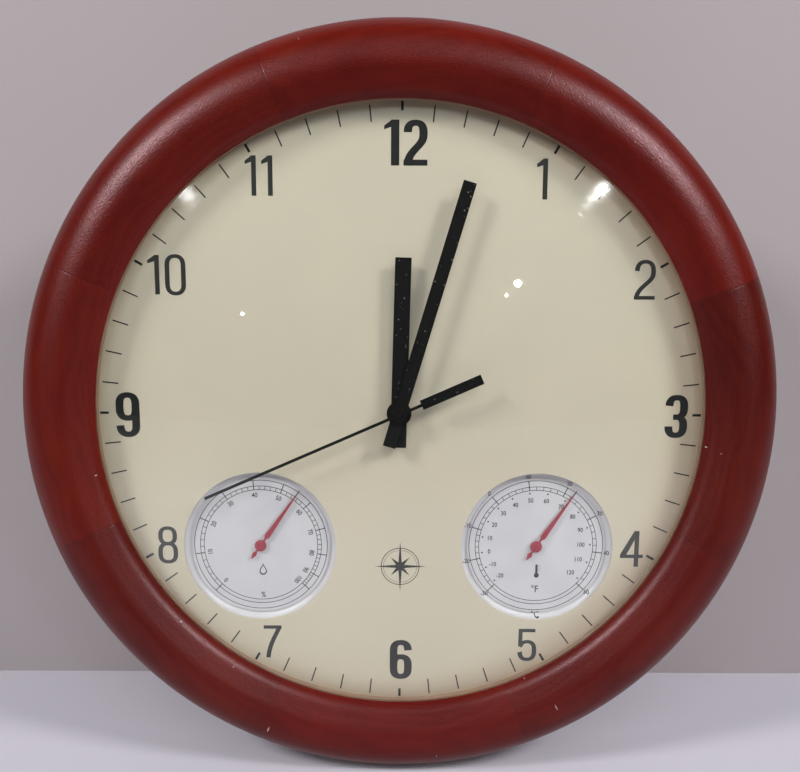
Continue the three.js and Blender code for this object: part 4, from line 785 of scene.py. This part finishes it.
def by_recipe(
    name, recipe, slot, body="case", blank=None, material=None, stands_for=(), smooth=None, places=None,
    place=Matrix.Identity(4), **inputs,
):
    """A piece that a recipe makes, turned into a plain mesh."""
    made = as_object(blank or bmesh.new(), name)
    step = made.modifiers.new("recipe", "NODES")
    step.node_group = recipe.tree
    inputs["Finish"] = material or FINISHES[slot]
    if places:
        inputs["Stations"] = stations(places)
    for title, value in inputs.items():
        step[recipe.names[title.replace("_", " ")]] = value
    drawn, made_mesh = made.data, evaluated(made)
    made.modifiers.clear()
    made.data = made_mesh
    bpy.data.meshes.remove(drawn)
    if places:
        discard(inputs["Stations"])
    made.data.transform(place)
    settle(made, name, slot, material, body, stands_for, smooth)


# ---- Ring, glass and dial


def off_centre(blank, limit):
    """The opening in the ring is concentric with the dial's print, which lies a little off the hands' axis."""
    for vert in blank.verts:
        radius = hypot(vert.co.x, vert.co.y)
        if radius < limit or vert.co.z > LIP_BACK + 0.01 or radius > CROWN_RADIUS:
            share = 1 if radius < CROWN_RADIUS else min(1, max(0, (vert.co.z - BULGE) / (CROWN_HEIGHT - BULGE)))
            vert.co.x += PRINT_SHIFT[0] * share
            vert.co.y += PRINT_SHIFT[1] * share
    return blank


def frame_ring():
    back = arc(RING_RADIUS - BACK_ROUND, BULGE, BACK_ROUND, BULGE - WALL_PLANE, 0, -90, 14)
    profile = [
        (REBATE_RADIUS, LIP_BACK), (LIP_RADIUS + 0.2, LIP_BACK), (LIP_RADIUS, LIP_BACK + 0.2),
        (LIP_RADIUS - 0.04, LIP_FRONT - 0.3), *ring_front(), *back[1:], (RECESS_RADIUS + 0.8, WALL_PLANE),
        (RECESS_RADIUS, WALL_PLANE + 0.8), (RECESS_RADIUS, LEDGE), (REBATE_RADIUS, LEDGE),
    ]
    floor = WALL_PLANE + 1.35
    hanger_seat = rounded(-18.3, HANGER_Y - 5.8, 18.3, HANGER_Y + 5.8, 1.8)
    head_room = rounded(-4.2, HANGER_Y - 4.5, 4.2, HANGER_Y + 5.8, 1.0)
    tools = [plate(hanger_seat, WALL_PLANE - 1, floor), plate(head_room, WALL_PLANE - 0.5, floor + 5)]
    tools += [disc(1.35, WALL_PLANE - 1, WALL_PLANE + 9.15, 16, (x, HANGER_Y)) for x in HANGER_SCREW_X]
    tools += [disc(1.55, LEDGE - 1, LEDGE + 8.5, 16, polar(CLIP_SCREW_RADIUS, turn)) for turn in CLIP_TURNS]
    blank = cut(off_centre(turned(profile, 256), LIP_RADIUS + 0.5), *tools)
    piece("wooden_ring", blank, "stained_wood", stands_for=["frame_ring"], smooth=40)


def dial_glass():
    sphere = (STACK_RADIUS**2 + GLASS_RISE**2) / (2 * GLASS_RISE)
    radii = [STACK_RADIUS * i / 24 for i in range(25)]
    inner = [(r, GLASS_EDGE + sqrt(sphere**2 - r**2) - sqrt(sphere**2 - STACK_RADIUS**2)) for r in radii]
    outer = [(r, z + GLASS_THICKNESS) for r, z in reversed(inner)]
    piece("domed_glass", turned(inner + outer, 160), "clear_glass", stands_for=["dial_glass"])


def spacer_ring():
    blank = off_centre(sleeve(SPACER_BORE, STACK_RADIUS, 0.15, 2.35, 200), SPACER_BORE + 1)
    # Its brown beige finish is painted shade from the ring's lip, not the plastic's own colour.
    piece("cream_spacer", eased(blank, 0.3, 3), "cream_plastic", stands_for=["spacer_ring"])


def sheet_with_windows(name, slot, node, back, front, window, width, steps):
    """A round sheet with two windows and a hole for the hub. Steps are for its edge, its windows and the hole."""
    windows = [circle(window, steps[1], place[:2]) for place in INSTRUMENTS.values()]
    blank = plate(circle(STACK_RADIUS, steps[0]), back, front, [*windows, circle(HUB_HOLE, steps[2])])
    piece(name, eased(blank, width, 2, 60), slot, stands_for=[node])


def dial_and_board():
    sheet_with_windows("dial", "cream_paint", "dial_plate", -1, 0, WINDOW_RADIUS, 0.12, (200, 120, 40))
    steps = (160, 96, 32)
    sheet_with_windows("pressed_board", "hardboard", "backing_board", LEDGE, -1.15, BOARD_WINDOW, 0.25, steps)


# ---- Numerals: strokes of a broad nib, upright ones thicker than level ones


def nib(path, upright, level, closed=False):
    """Both sides of a stroke along a path."""
    left, right = [], []
    for i, (x, y) in enumerate(path):
        before = path[i - 1] if i or closed else path[i]
        after = path[(i + 1) % len(path)] if i < len(path) - 1 or closed else path[i]
        dx, dy = after[0] - before[0], after[1] - before[1]
        size = hypot(dx, dy)
        nx, ny = -dy / size, dx / size
        half = hypot(upright * nx, level * ny) / 2
        left.append((x + nx * half, y + ny * half))
        right.append((x - nx * half, y - ny * half))
    return left, right


def stroke(path, upright, level):
    left, right = nib(path, upright, level)
    return printed(left + right[::-1])


def loop(path, upright, level):
    left, right = nib(path, upright, level, closed=True)
    return printed(right, [left])


def oval(x, bottom, top, half_width, level, shoulder):
    """A closed path with upright sides between two bows."""
    low, high = bottom + level / 2 + shoulder, top - level / 2 - shoulder
    upper = arc(x, high, half_width, shoulder, 0, 180, 14, BOWL)
    return upper + arc(x, low, half_width, shoulder, 180, 360, 14, BOWL)


def numeral(figure, width, height, up, level):
    """One figure, its left foot at the origin: `up` is the thickness of upright strokes."""
    half, middle = (width - up) / 2, width / 2
    shoulder = half * 1.15
    left, right = up / 2, width - up / 2
    low, high = level / 2 + shoulder, height - level / 2 - shoulder

    def bow(y, start, end, steps=16):
        return arc(middle, y, half, shoulder, start, end, steps, BOWL)

    def bar(*corners):
        return printed(rectangle(*corners))

    if figure == "0":
        return loop(oval(middle, 0, height, half, level, shoulder), up, level)
    if figure == "1":
        flag = [(width, height), (width - up * 0.9, height), (0, height * 0.87), (0, height * 0.785)]
        return fused(bar(width - up, 0, width, height), printed([*flag, (width - up, height * 0.84)]))
    if figure == "8":
        waist = height * 0.535
        upper = oval(middle, waist - level / 2, height, half * 0.94, level, shoulder * 0.85)
        lower = oval(middle, 0, waist + level / 2, half, level, shoulder * 0.9)
        return fused(loop(lower, up, level), loop(upper, up * 0.97, level))
    if figure in "69":
        bowl = oval(middle, 0, height * 0.635, half, level, shoulder)
        hook = [(left, shoulder + level), (left, high), *bow(high, 180, 0)[1:], (right, height * 0.745)]
        made = fused(loop(bowl, up, level), stroke(hook, up, level))
        if figure == "9":
            made.transform(Matrix.Translation((width, height, 0)) @ Matrix.Rotation(pi, 4, "Z"))
        return made
    if figure == "3":
        waist = height * 0.485
        meet = (width * 0.36, waist)
        upper = [(left, height * 0.755), (left, high), *bow(high, 180, 0)[1:], *bow(waist + shoulder, 0, -90, 8), meet]
        lower = [meet, *bow(waist - shoulder, 90, 0, 8), *bow(low, 0, -180), (left, height * 0.27)]
        return fused(stroke(upper, up, level), stroke(lower, up, level))
    if figure == "2":
        path = [(left, height * 0.73), (left, high), *bow(high, 180, 0)[1:]]
        path += curve((right, height * 0.66), (right, height * 0.42), (left + 0.02, height * 0.34), (left, 0.0))
        return fused(stroke(path, up, level), bar(0.0, 0, width, level))
    if figure == "5":
        high = height * 0.655 - level / 2 - shoulder
        bowl = [(left, high + shoulder * 0.35), *bow(high, 150, 0, 14), *bow(low, 0, -180), (left, height * 0.25)]
        stem = printed([(0.2, height * 0.46), (up, height * 0.46), (up + 0.15, height), (0.35, height)])
        return fused(stroke(bowl, up, level), stem, bar(0.35, height - level, width * 0.93, height))
    if figure == "7":
        start, foot = (width - up * 0.52, height - level * 0.6), (width * 0.24, 0.0)
        path = curve(start, (width * 0.72, height * 0.74), (width * 0.3, height * 0.42), foot)
        return fused(stroke(path, up, level), bar(0, height - level, width, height))
    if figure == "4":
        edge, bar_low = width * 0.81, height * 0.245
        slope = [
            (0, bar_low + level), (0, bar_low), (up * 1.02, bar_low), (edge - up * 0.4, height * 0.9),
            (edge - up * 0.35, height), (edge - up * 1.1, height),
        ]
        return fused(bar(edge - up, 0, edge, height), bar(0, bar_low, width, bar_low + level), printed(slope))
    raise ValueError(figure)


# Two weights: thickness of upright and level strokes, ink, and each figure's left, bottom, right and top.
NUMERALS = {
    "heavy_numerals": (3.7, 2.6, BLACK_INK, [
        ("1", -8.1, 112.5, -1.3, 132.3), ("2", 0.6, 112.5, 11.3, 132.3), ("3", 123.4, -10.8, 134.0, 9.6),
        ("6", -4.8, -131.3, 5.9, -111.2), ("9", -132.9, -11.5, -121.8, 9.7),
    ]),
    "light_numerals": (2.15, 1.7, GREY_INK, [
        ("1", 60.4, 98.0, 65.3, 115.9), ("2", 106.3, 53.5, 115.9, 71.5), ("4", 105.3, -73.7, 116.2, -56.0),
        ("5", 57.4, -121.8, 66.5, -105.3), ("7", -66.0, -120.4, -57.3, -104.0), ("8", -115.6, -73.0, -106.2, -54.6),
        ("1", -115.6, 54.8, -110.3, 72.6), ("0", -107.8, 54.4, -98.3, 73.0), ("1", -70.4, 99.0, -65.4, 116.6),
        ("1", -63.0, 99.0, -58.0, 116.6),
    ]),
}


def numerals():
    for name, (up, level, ink, figures) in NUMERALS.items():
        blanks = []
        for figure, left, bottom, right, top in figures:
            made = numeral(figure, right - left, top - bottom, up, level)
            blanks.append(moved(made, left + PRINT_SHIFT[0], bottom + PRINT_SHIFT[1]))
        piece(name, together(*blanks), "cream_paint", material=ink)


def marks_round(name, slot, ink, centre, level, turns, inner, length, width):
    by_recipe(
        name, MARKS, slot, material=ink, places=[(*centre, level + PRINT_LIFT / 2, turn) for turn in turns],
        Inner_Radius=inner, Length=length, Width=width, Thickness=PRINT_LIFT,
    )


def minute_marks():
    minutes = [6 * i for i in range(60) if i % 5]
    marks_round("minute_marks", "cream_paint", BLACK_INK, PRINT_SHIFT, 0, minutes, 131.9, 7.4, 0.62)
    marks_round("hour_marks", "cream_paint", BLACK_INK, PRINT_SHIFT, 0, range(0, 360, 30), 136.2, 4.0, 1.15)


def wind_rose():
    """A small plain star below the middle, where the dial would else be bare."""
    star = printed([polar({0: 12.5, 2: 6.4}.get(i % 4, 2.1), 22.5 * i) for i in range(16)])
    rings = [sleeve(inner, outer, -0.01, PRINT_LIFT, 72) for inner, outer in ((8.9, 9.25), (7.9, 8.05))]
    blank = moved(together(star, *rings), PRINT_SHIFT[0], PRINT_SHIFT[1] - 74.0)
    piece("wind_rose", blank, "cream_paint", material=GREY_INK)


# ---- Hands


def hand_outline(boss, neck, blade, tail, steps=16):
    """A round boss with a blade and a tail, which are given by their right sides, going up."""
    rise = degrees(acos(neck / boss))
    right, left = [arc(0, 0, boss, boss, middle - rise, middle + rise, steps) for middle in (0, 180)]
    return right + blade + mirrored(blade) + left + mirrored(tail) + tail


def pressed_hand(name, blank, angle):
    piece("pressed_" + name, moved(blank, turn=angle), "black_paint", body=name, stands_for=[name])


def hands():
    for name, size in HANDS.items():
        half, boss, bore, front = size["width"] / 2, size["boss"], size["bore"], size["front"]
        back, top = front - HAND_THICKNESS, front + 0.18
        outline = hand_outline(boss, half, [(half, size["length"])], [(half, -HAND_TAIL)], 14)
        sheet = eased(plate(outline, back, front, [circle(bore, 32)]), 0.1, 2, 50)
        collet = eased(sleeve(bore, bore + 1.1, back - 1.2, back + 0.02, 32), 0.1)
        collar = turned([(bore, front - 0.05), (bore + 0.8, front - 0.05), (bore + 0.6, top), (bore, top)], 32)
        pressed_hand(name, together(sheet, collet, collar), size["angle"])

    boss, half, back = 3.6, 0.7, SECOND_FRONT - HAND_THICKNESS
    weight = [(WEIGHT_HALF, WEIGHT_END), (WEIGHT_HALF, WEIGHT_START), (half, WEIGHT_START)]
    sheet = eased(plate(hand_outline(boss, half, [(half, SECOND_LENGTH)], weight), back, SECOND_FRONT), 0.09, 2, 50)
    cap = turned([
        (0, back - 0.1), (1.75, back - 0.1), (1.75, SECOND_FRONT + 0.5), (1.45, SECOND_FRONT + 0.78),
        (0, SECOND_FRONT + 0.8),
    ], 32)
    tube = sleeve(0.65, 1.75, back - 1.2, back + 0.05, 32)
    pressed_hand("second_hand", together(sheet, cap, tube), SECOND_ANGLE)


# ---- Instruments

SCALE_CIRCLES = {"humidity": (31.9, 29.1, 27.3), "temperature": (32.2, 29.2, 27.5)}
MAJORS = {
    "humidity": [-135.8, -98.3, -65.3, -35.0, -6.0, 20.9, 48.9, 74.7, 99.1, 119.9, 134.0],
    "temperature": [-134.7, -103.2, -73.4, -41.7, -7.5, 26.8, 62.0, 96.0, 132.7],
}
MINORS_PER_GAP = 5
FAHRENHEIT = [-131.5, -114.3, -97.5, -80.4, -62.7, -44.8, -26.8, -7.7, 11.4, 30.9, 50.0, 69.5, 88.3, 108.0, 128.0]


def lettered(words, size, x, y, turn=0.0, level=FACE_FRONT):
    """Plain figures, thin and closed, about their own middle."""
    text = bpy.data.curves.new("figures", "FONT")
    text.body, text.size, text.extrude, text.resolution_u = words, size / 0.72, PRINT_LIFT / 2, 3
    text.offset = 0.05
    text.align_x, text.align_y = "CENTER", "CENTER"
    holder = bpy.data.objects.new("figures", text)
    bpy.context.scene.collection.objects.link(holder)
    mesh = evaluated(holder)
    bpy.data.objects.remove(holder)
    bpy.data.curves.remove(text)
    blank = bmesh.new()
    blank.from_mesh(mesh)
    bpy.data.meshes.remove(mesh)
    bmesh.ops.remove_doubles(blank, verts=blank.verts, dist=1e-4)
    blank.transform(Matrix.Diagonal((0.86, 1, 1, 1)))
    return moved(blank, x, y, level + PRINT_LIFT / 2, turn)


def droplet(x, y, size):
    side = curve((0, size), (size * 0.25, size * 0.35), (size * 0.62, 0), (size * 0.6, -size * 0.35), 8)
    line = side + arc(0, -size * 0.35, size * 0.6, size * 0.6, 0, -180, 12)[1:] + mirrored(side)[1:-1]
    inner = [(px * 0.72, (py + size * 0.1) * 0.72 - size * 0.1) for px, py in line]
    return moved(printed(line, [inner], FACE_FRONT), x, y)


def glass_tube(x, y, size):
    """A plain drawing of a thermometer."""
    bulb = disc(size * 0.36, FACE_FRONT - 0.01, FACE_FRONT + PRINT_LIFT, 20, (x, y - size * 0.62))
    line = rounded(x - size * 0.17, y - size * 0.5, x + size * 0.17, y + size, size * 0.16, 4)
    blanks = [fused(bulb, printed(line, level=FACE_FRONT))]
    for height in (0.1, 0.4, 0.7):
        foot = y + size * height
        blanks.append(printed(rectangle(x + size * 0.3, foot, x + size * 0.55, foot + 0.16), level=FACE_FRONT))
    return together(*blanks)


def scale_print(name, x, y):
    """Printed circles, marks and figures of one instrument."""
    outer, middle, inner = SCALE_CIRCLES[name]
    low, high = FACE_FRONT - 0.01, FACE_FRONT + PRINT_LIFT
    words = [sleeve(r - 0.15, r + 0.15, low, high, 120, (x, y)) for r in (outer, middle, inner)]
    if name == "humidity":
        for reading, turn in zip(range(0, 110, 10), MAJORS[name]):
            words.append(lettered(str(reading), 2.35, *polar(24.6, turn, x, y), turn))
        words += [lettered("%", 2.7, x + 0.8, y - 25.0), droplet(x + 0.8, y - 12.2, 3.0)]
    else:
        for reading, turn in zip(range(-20, 130, 10), FAHRENHEIT):
            words.append(disc(0.42, low, high, 12, polar(26.1, turn, x, y)))
            words.append(lettered(str(reading), 2.2, *polar(22.6 if reading < 100 else 21.6, turn, x, y)))
        words += [lettered("°F", 3.5, x, y - 21.8), glass_tube(x + 0.7, y - 12.6, 3.4)]
    piece(name + "_scale_print", together(*words), "printed_white", material=SCALE_INK)
    majors, steps = MAJORS[name], range(1, MINORS_PER_GAP)
    minors = [a + (b - a) * i / MINORS_PER_GAP for a, b in zip(majors, majors[1:]) for i in steps]
    for kind, turns, top, width in (("_major_marks", majors, outer, 0.42), ("_minor_marks", minors, middle, 0.28)):
        marks_round(name + kind, "printed_white", SCALE_INK, (x, y), FACE_FRONT, turns, inner, top - inner, width)


def dish_height(radius):
    """Height of the card or, beyond it, of the dish's coved wall."""
    if radius < CARD_RADIUS + 0.05:
        return FACE_FRONT
    share = min(1.0, (radius - DISH_FLOOR_RADIUS) / (WINDOW_RADIUS - DISH_FLOOR_RADIUS))
    return DISH_RIM - COVE_DEPTH * sqrt(1 - max(0.0, share) ** 2)


def celsius_print():
    """Celsius figures and sign. They lie over the card's edge on the dish's cove, and follow it."""
    x, y = INSTRUMENTS["temperature"][:2]
    words = []
    for reading, turn in zip(range(-30, 60, 10), MAJORS["temperature"]):
        words.append(lettered(str(reading), 2.2, *polar(34.3, turn, x, y), level=0.0))
    blank = together(*words, lettered("°C", 3.2, x + 0.5, y - 34.7, level=0.0))
    for vert in blank.verts:
        vert.co.z += dish_height(hypot(vert.co.x - x, vert.co.y - y)) + 0.04
    piece("celsius_figures", blank, "white_plastic", material=SCALE_INK)


def dish(name, x, y):
    cove = arc(DISH_FLOOR_RADIUS, DISH_RIM, WINDOW_RADIUS - DISH_FLOOR_RADIUS, COVE_DEPTH, -90, 0, 12)
    profile = [
        (0.75, DISH_RIM - COVE_DEPTH), *cove, (38.8, -1.15), (39.0, -1.35), (39.0, -15.0), (38.85, -15.15),
        (37.95, -15.15), (37.8, -15.0), (37.8, -4.35), (0.75, -4.35),
    ]
    blanks = [turned(profile, 128, (x, y))]
    for seat in (x - 37.1, x + 37.1):
        blanks.append(eased(plate(rectangle(seat - 1.3, y - 4, seat + 1.3, y + 4), -12.8, -4.3), 0.2))
    blanks.append(disc(1.2, -10.65, -4.3, 20, (x + 14.6, y)))
    piece(name + "_dish", together(*blanks), "white_plastic", stands_for=[name + "_housing"])
    edge = [(CARD_RADIUS, -3.0), (CARD_RADIUS, -2.66), (CARD_RADIUS - 0.06, FACE_FRONT)]
    card = [*edge, (1.05, FACE_FRONT), (1.05, -3.0)]
    piece(name + "_card", turned(card, 120, (x, y)), "printed_white", stands_for=[name + "_face"])


def pointer(name, x, y, turn):
    hub, neck, base, tip = 2.8, 0.5, 1.3, 0.15
    blade = [*curve((neck, 4.3), (neck + 0.1, 5.0), (base, 4.9), (base, 5.5), 5), (tip, 33.4)]
    outline = hand_outline(hub, neck, blade, [(tip, -8.0), (1.15, -5.4), (0.45, -3.6)])
    sheet = eased(plate(outline, -1.6, -1.3), 0.05, 2, 40)
    dome = turned([(0, -1.32), (2.2, -1.32), (1.9, -1.12), (1.2, -1.02), (0, -1.0)], 32)
    blank = moved(together(sheet, dome, sleeve(0.75, 1.35, -2.3, -1.55, 24)), x, y, turn=turn)
    piece(name + "_needle", blank, "pointer_red", body=name + "_pointer", stands_for=[name + "_pointer"])


def instruments():
    for name, (x, y, turn) in INSTRUMENTS.items():
        dish(name, x, y)
        scale_print(name, x, y)
        pointer(name, x, y, turn)
        by_recipe(
            name + "_bimetal", STRIP, "brass_parts", stands_for=[name + "_coil"], smooth=40,
            place=Matrix.Translation((x, y, -8.65)), Turns=3.0, Inner_Radius=2.6, Outer_Radius=13.0, Rise=0.0,
            Strip_Thickness=0.5, Strip_Width=4.0,
        )
        bore = [circle(0.75, 20, (x, y))]
        bar = eased(plate(rounded(x - 36.6, y - 4, x + 36.6, y + 4, 1.5), -14.15, -12.95, bore), 0.15)
        rib = eased(plate(rounded(x - 24, y - 1.1, x + 24, y + 1.1, 1.0), -14.6, -14.1, bore), 0.15)
        rivet = [(0, -14.1), (1.3, -14.1), (1.2, -14.6), (0, -14.75)]
        ends = [turned(rivet, 20, (x + aside, y)) for aside in (-35.0, 35.0)]
        blank = together(bar, rib, *ends)
        piece(name + "_back_bar", blank, "zinc_plated_steel", stands_for=[name + "_bridge_bar"])
    celsius_print()


# ---- Back: clips, hanger, movement


def clip_screw():
    """A pan head with a crossed slot, looking back along -z from its seat at z 0, and its shank."""
    radius, height, shank, length, slot = 2.7, 1.6, 1.4, 8.0, 0.3
    rim = -height * 0.45
    head = turned([
        (0, 0.02), (radius, 0.02), (radius, rim), (radius * 0.8, -height * 0.85), (radius * 0.4, -height), (0, -height),
    ], 28)
    grooves = [
        plate(rectangle(-a, -b, a, b), -height - 0.3, rim) for a, b in ((radius, slot), (slot, radius * 0.62))
    ]
    return together(cut(head, *grooves), turned([(0, 0.0), (shank, 0.0), (shank, length - shank), (0, length)], 16))


def clips():
    outline = rounded(-6.0, 135.7 - CLIP_SCREW_RADIUS, 6.0, 151.2 - CLIP_SCREW_RADIUS, 1.5)
    strip = eased(plate(outline, LEDGE - 0.95, LEDGE - 0.15, [circle(1.55, 20)]), 0.15)
    for kind, blank, level in (("clip", strip, 0.0), ("screw", clip_screw(), LEDGE - 1.1)):
        by_recipe(
            f"retaining_{kind}s", COPIES, "zinc_plated_steel", blank=moved(blank, y=CLIP_SCREW_RADIUS, z=level),
            places=[(0.0, 0.0, 0.0, turn) for turn in CLIP_TURNS], smooth=35,
            stands_for=[f"retainer_{kind}_{i}" for i in (1, 2, 3, 4)],
        )


def hanger():
    head, shank, hole_y = 3.2, 1.7, HANGER_Y - 1.3
    meet = degrees(asin(shank / head))
    keyhole = arc(0, hole_y, head, head, 90 + meet, 450 - meet, 24) + arc(0, hole_y + 3.9, shank, shank, 0, 180, 12)
    holes = [keyhole, *[circle(2.2, 24, (x, HANGER_Y)) for x in HANGER_SCREW_X]]
    strip = plate(rounded(-18, HANGER_Y - 5.5, 18, HANGER_Y + 5.5, 1.5), WALL_PLANE, WALL_PLANE + 1.2, holes)
    piece("keyhole_hanger", eased(strip, 0.18, 2, 50), "zinc_plated_steel", stands_for=["hanger_plate"])
    blanks = []
    for x in HANGER_SCREW_X:
        screw = turned([(0, -23.8), (2.0, -23.8), (1.2, -22.6), (1.2, -16.0), (0, -15.0)], 24, (x, HANGER_Y))
        grooves = [rectangle(x - a, HANGER_Y - b, x + a, HANGER_Y + b) for a, b in ((1.5, 0.25), (0.25, 1.5))]
        blanks.append(cut(screw, *[plate(groove, -24.2, -23.2) for groove in grooves]))
    piece("hanger_screws", together(*blanks), "zinc_plated_steel", stands_for=["hanger_screw_1", "hanger_screw_2"])


def movement():
    outer = eased(plate(rounded(-30, -34, 30, 24.2, 3.0, 8), -20.35, -4.95), 0.6, 3, 40)
    rooms = [plate(rounded(-29, low, 29, high, 1.0, 4), -21, -5.95) for low, high in ((-33, -18), (-17, 23.2))]
    grips = [plate(rectangle(-12 + 5 * i, -34.6, -10 + 5 * i, -33.4), -19.0, -10.0) for i in range(5)]
    bush = turned([(2.65, -5.5), (3.5, -5.5), (3.5, 1.9), (3.25, 2.2), (2.65, 2.2)], 40)
    body = together(cut(outer, *rooms, *grips, disc(3.0, -7, -4, 40)), bush)
    piece("movement_shell", body, "black_plastic", stands_for=["movement_case"])

    spots = [(BUTTONS_X, y) for y in BUTTONS.values()]
    holes = [circle(2.15, 28, spot) for spot in spots]
    lid = eased(plate(rounded(-30, -18, 30, 24.2, 3.0, 8), -21.55, -20.5, holes), 0.35, 3, 50)
    collars = [turned([(2.3, -21.55), (3.1, -21.5), (3.0, -21.8), (2.4, -21.8)], 28, spot) for spot in spots]
    stud = [(0, -21.5), (1.6, -21.5), (1.4, -21.85), (0, -21.9)]
    studs = [turned(stud, 20, spot) for spot in ((26, 20), (26, -14), (-26.5, 20.5), (-26.5, -14.5))]
    piece("movement_lid", together(lid, *collars, *studs), "black_plastic", stands_for=["rear_cover"])
    rib = eased(plate(rounded(-12, 15.5, 24, 16.3, 0.35, 3), -21.85, -21.5), 0.08)
    by_recipe("lid_ribs", ROW, "black_plastic", blank=rib, Count=7, Step=(0.0, -4.2, 0.0), smooth=35)

    cap = [
        (0, -22.4), (1.0, -22.45), (1.75, -22.55), (2.0, -22.3), (2.0, -19.2), (2.9, -19.2), (2.9, -18.3), (0, -18.3),
    ]
    for name, y in BUTTONS.items():
        node = name + "_button"
        piece(name + "_key", turned(cap, 32, (BUTTONS_X, y)), "white_plastic", body=node, stands_for=[node])


def along_bay(x):
    """Carries what is drawn about z onto the battery's axis, from so far along x."""
    return Matrix.Translation((x, BAY_Y, BAY_Z)) @ Matrix.Rotation(pi / 2, 4, "Y")


def battery():
    cell = turned([
        (0, 0.15), (4.6, 0.15), (5.0, 0.0), (6.6, 0.0), (7.0, 0.4), (7.0, 48.7), (6.7, 49.1), (6.0, 49.3), (2.7, 49.3),
        (2.7, 50.2), (2.4, 50.5), (0, 50.5),
    ], 64)
    cell.transform(along_bay(-22.2))
    piece("dry_cell", cell, "battery_sleeve", stands_for=["battery"])
    by_recipe(
        "contact_spring", STRIP, "zinc_plated_steel", smooth=50, place=along_bay(-28.4), Turns=3.5,
        Inner_Radius=3.9, Outer_Radius=1.6, Rise=5.6, Strip_Thickness=0.6, Strip_Width=0.6,
    )
    tab = eased(plate(rounded(-4.5, -4.5, 4.5, 4.5, 1.5, 5), 0, 0.4), 0.1)
    tab.transform(along_bay(-28.85))
    piece("spring_tab", tab, "zinc_plated_steel", stands_for=["battery_contact_spring"])


def dust():
    """Specks that have settled on the hands."""
    hosts = []
    for name, size in HANDS.items():
        half = size["width"] / 2 - 0.4
        hosts.append((name, (-half, 6.5, half, size["length"] - 0.5), size["front"], size["angle"]))
    hosts.append(("second_hand", (-2.0, -41.0, 2.0, -12.0), SECOND_FRONT, SECOND_ANGLE))
    for seed, (name, corners, front, angle) in enumerate(hosts):
        host = bmesh.new()
        host.faces.new([host.verts.new((x, y, front + 0.01)) for x, y in rectangle(*corners)])
        by_recipe(
            name + "_dust", DUST, "black_paint", body=name, blank=moved(host, turn=angle), material=LINT,
            Density=0.05, Seed=seed + 3, Size=0.16, Stretch=1.7,
        )


# ---- Making

for part in frame["record"]["subparts"]:
    for holder in frame["nodes"][part["node"]].material_slots:
        holder.material = FINISHES[part["material_slot"]]

for make in (
    frame_ring, dial_glass, spacer_ring, dial_and_board, numerals, minute_marks, wind_rose, hands, instruments, clips,
    hanger, movement, battery, dust,
):
    make()


# ---- Stage, light and camera


def plain(name, main, second, roughness, fade=False, one_sided=False):
    """An even stage paint. The floor's fades towards the front, so that the glass mirrors no edge of it."""
    paint = Finish(name)
    base = paint.mix(paint.between(paint.noise(0.004, 2.0), 0.3, 0.7), main, second)
    if fade:
        base = paint.mix(paint.between(paint.split(paint.at)[1], -120, -560), base, "1e1e20")
    look = {"Base_Color": base, "Roughness": roughness}
    if one_sided:
        look["Alpha"] = 1 - paint.node("ShaderNodeNewGeometry", {}, {}, "Backfacing")
    return paint.surface(**look)


def stage_plane(name, start, end, material):
    """A wide rectangle between two lines along x, each given by its y and z."""
    mesh = bpy.data.meshes.new(name)
    mesh.from_pydata([(-3, *start), (3, *start), (3, *end), (-3, *end)], [], [(0, 1, 2, 3)])
    mesh.materials.append(material)
    made = bpy.data.objects.new(name, mesh)
    bpy.context.scene.collection.objects.link(made)
    return made


FLOOR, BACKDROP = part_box("frame_ring")[0].z, 0.079
floor_paint = plain("floor_paint", "bfbcc6", "bab7c1", 0.6, fade=True)
backdrop_paint = plain("backdrop_paint", "a0979a", "9d9597", 0.9, one_sided=True)
stage_plane("floor", (-0.9, FLOOR), (BACKDROP, FLOOR), floor_paint)
stage_plane("backdrop", (BACKDROP, FLOOR), (BACKDROP, 3), backdrop_paint).visible_shadow = False

# Lamps: place, size and power, and whether the lamp is only seen mirrored in the glass.
LAMPS = {
    "soft_front": ((0.1, -1.2, 0.95), 1.2, 9.0, False),
    "soft_left": ((-1.2, -0.7, 0.97), 0.38, 20.0, False),
    "soft_right": ((1.2, -0.7, 0.97), 0.38, 21.0, False),
    "left_glint": ((-0.82, -1.16, 0.62), 0.05, 22.5, True),
    "right_glint": ((0.715, -1.17, 0.588), 0.025, 19.5, True),
    "near_spot": ((0.605, -1.91, 0.36), 0.032, 1.0, True),
    "faint_spot": ((0.545, -1.91, 0.30), 0.012, 0.12, True),
    "far_spot": ((-0.81, -1.91, 0.20), 0.012, 0.12, True),
    "back_fill": ((-0.2, 1.3, -0.11), 0.1, 9.0, False),
}
for name, (place, size, watts, mirrored_only) in LAMPS.items():
    light = bpy.data.lights.new(name, "AREA")
    light.shape, light.size, light.energy = "DISK", size, watts
    lamp = bpy.data.objects.new(name, light)
    lamp.location, lamp.rotation_euler = place, (-Vector(place)).to_track_quat("-Z", "Y").to_euler()
    lamp.visible_glossy, lamp.visible_diffuse = mirrored_only, not mirrored_only
    bpy.context.scene.collection.objects.link(lamp)

world = bpy.data.worlds.new("room")
world.use_nodes = True
background = world.node_tree.nodes["Background"].inputs
background["Color"].default_value, background["Strength"].default_value = (0.97, 0.97, 1.0, 1), 0.03
bpy.context.scene.world = world

view = bpy.data.cameras.new("camera")
view.lens, view.sensor_width = 31.5, 36.0
camera = bpy.data.objects.new("camera", view)
camera.matrix_world = (
    Matrix.Translation((-0.00035, -0.3269, 0.0520))
    @ Matrix.Rotation(radians(-0.13), 4, "Z")
    @ Matrix.Rotation(radians(83.0), 4, "X")
    @ Matrix.Rotation(radians(0.28), 4, "Z")
)
bpy.context.scene.collection.objects.link(camera)
bpy.context.scene.camera = camera
bpy.context.scene.view_settings.view_transform = "Standard"
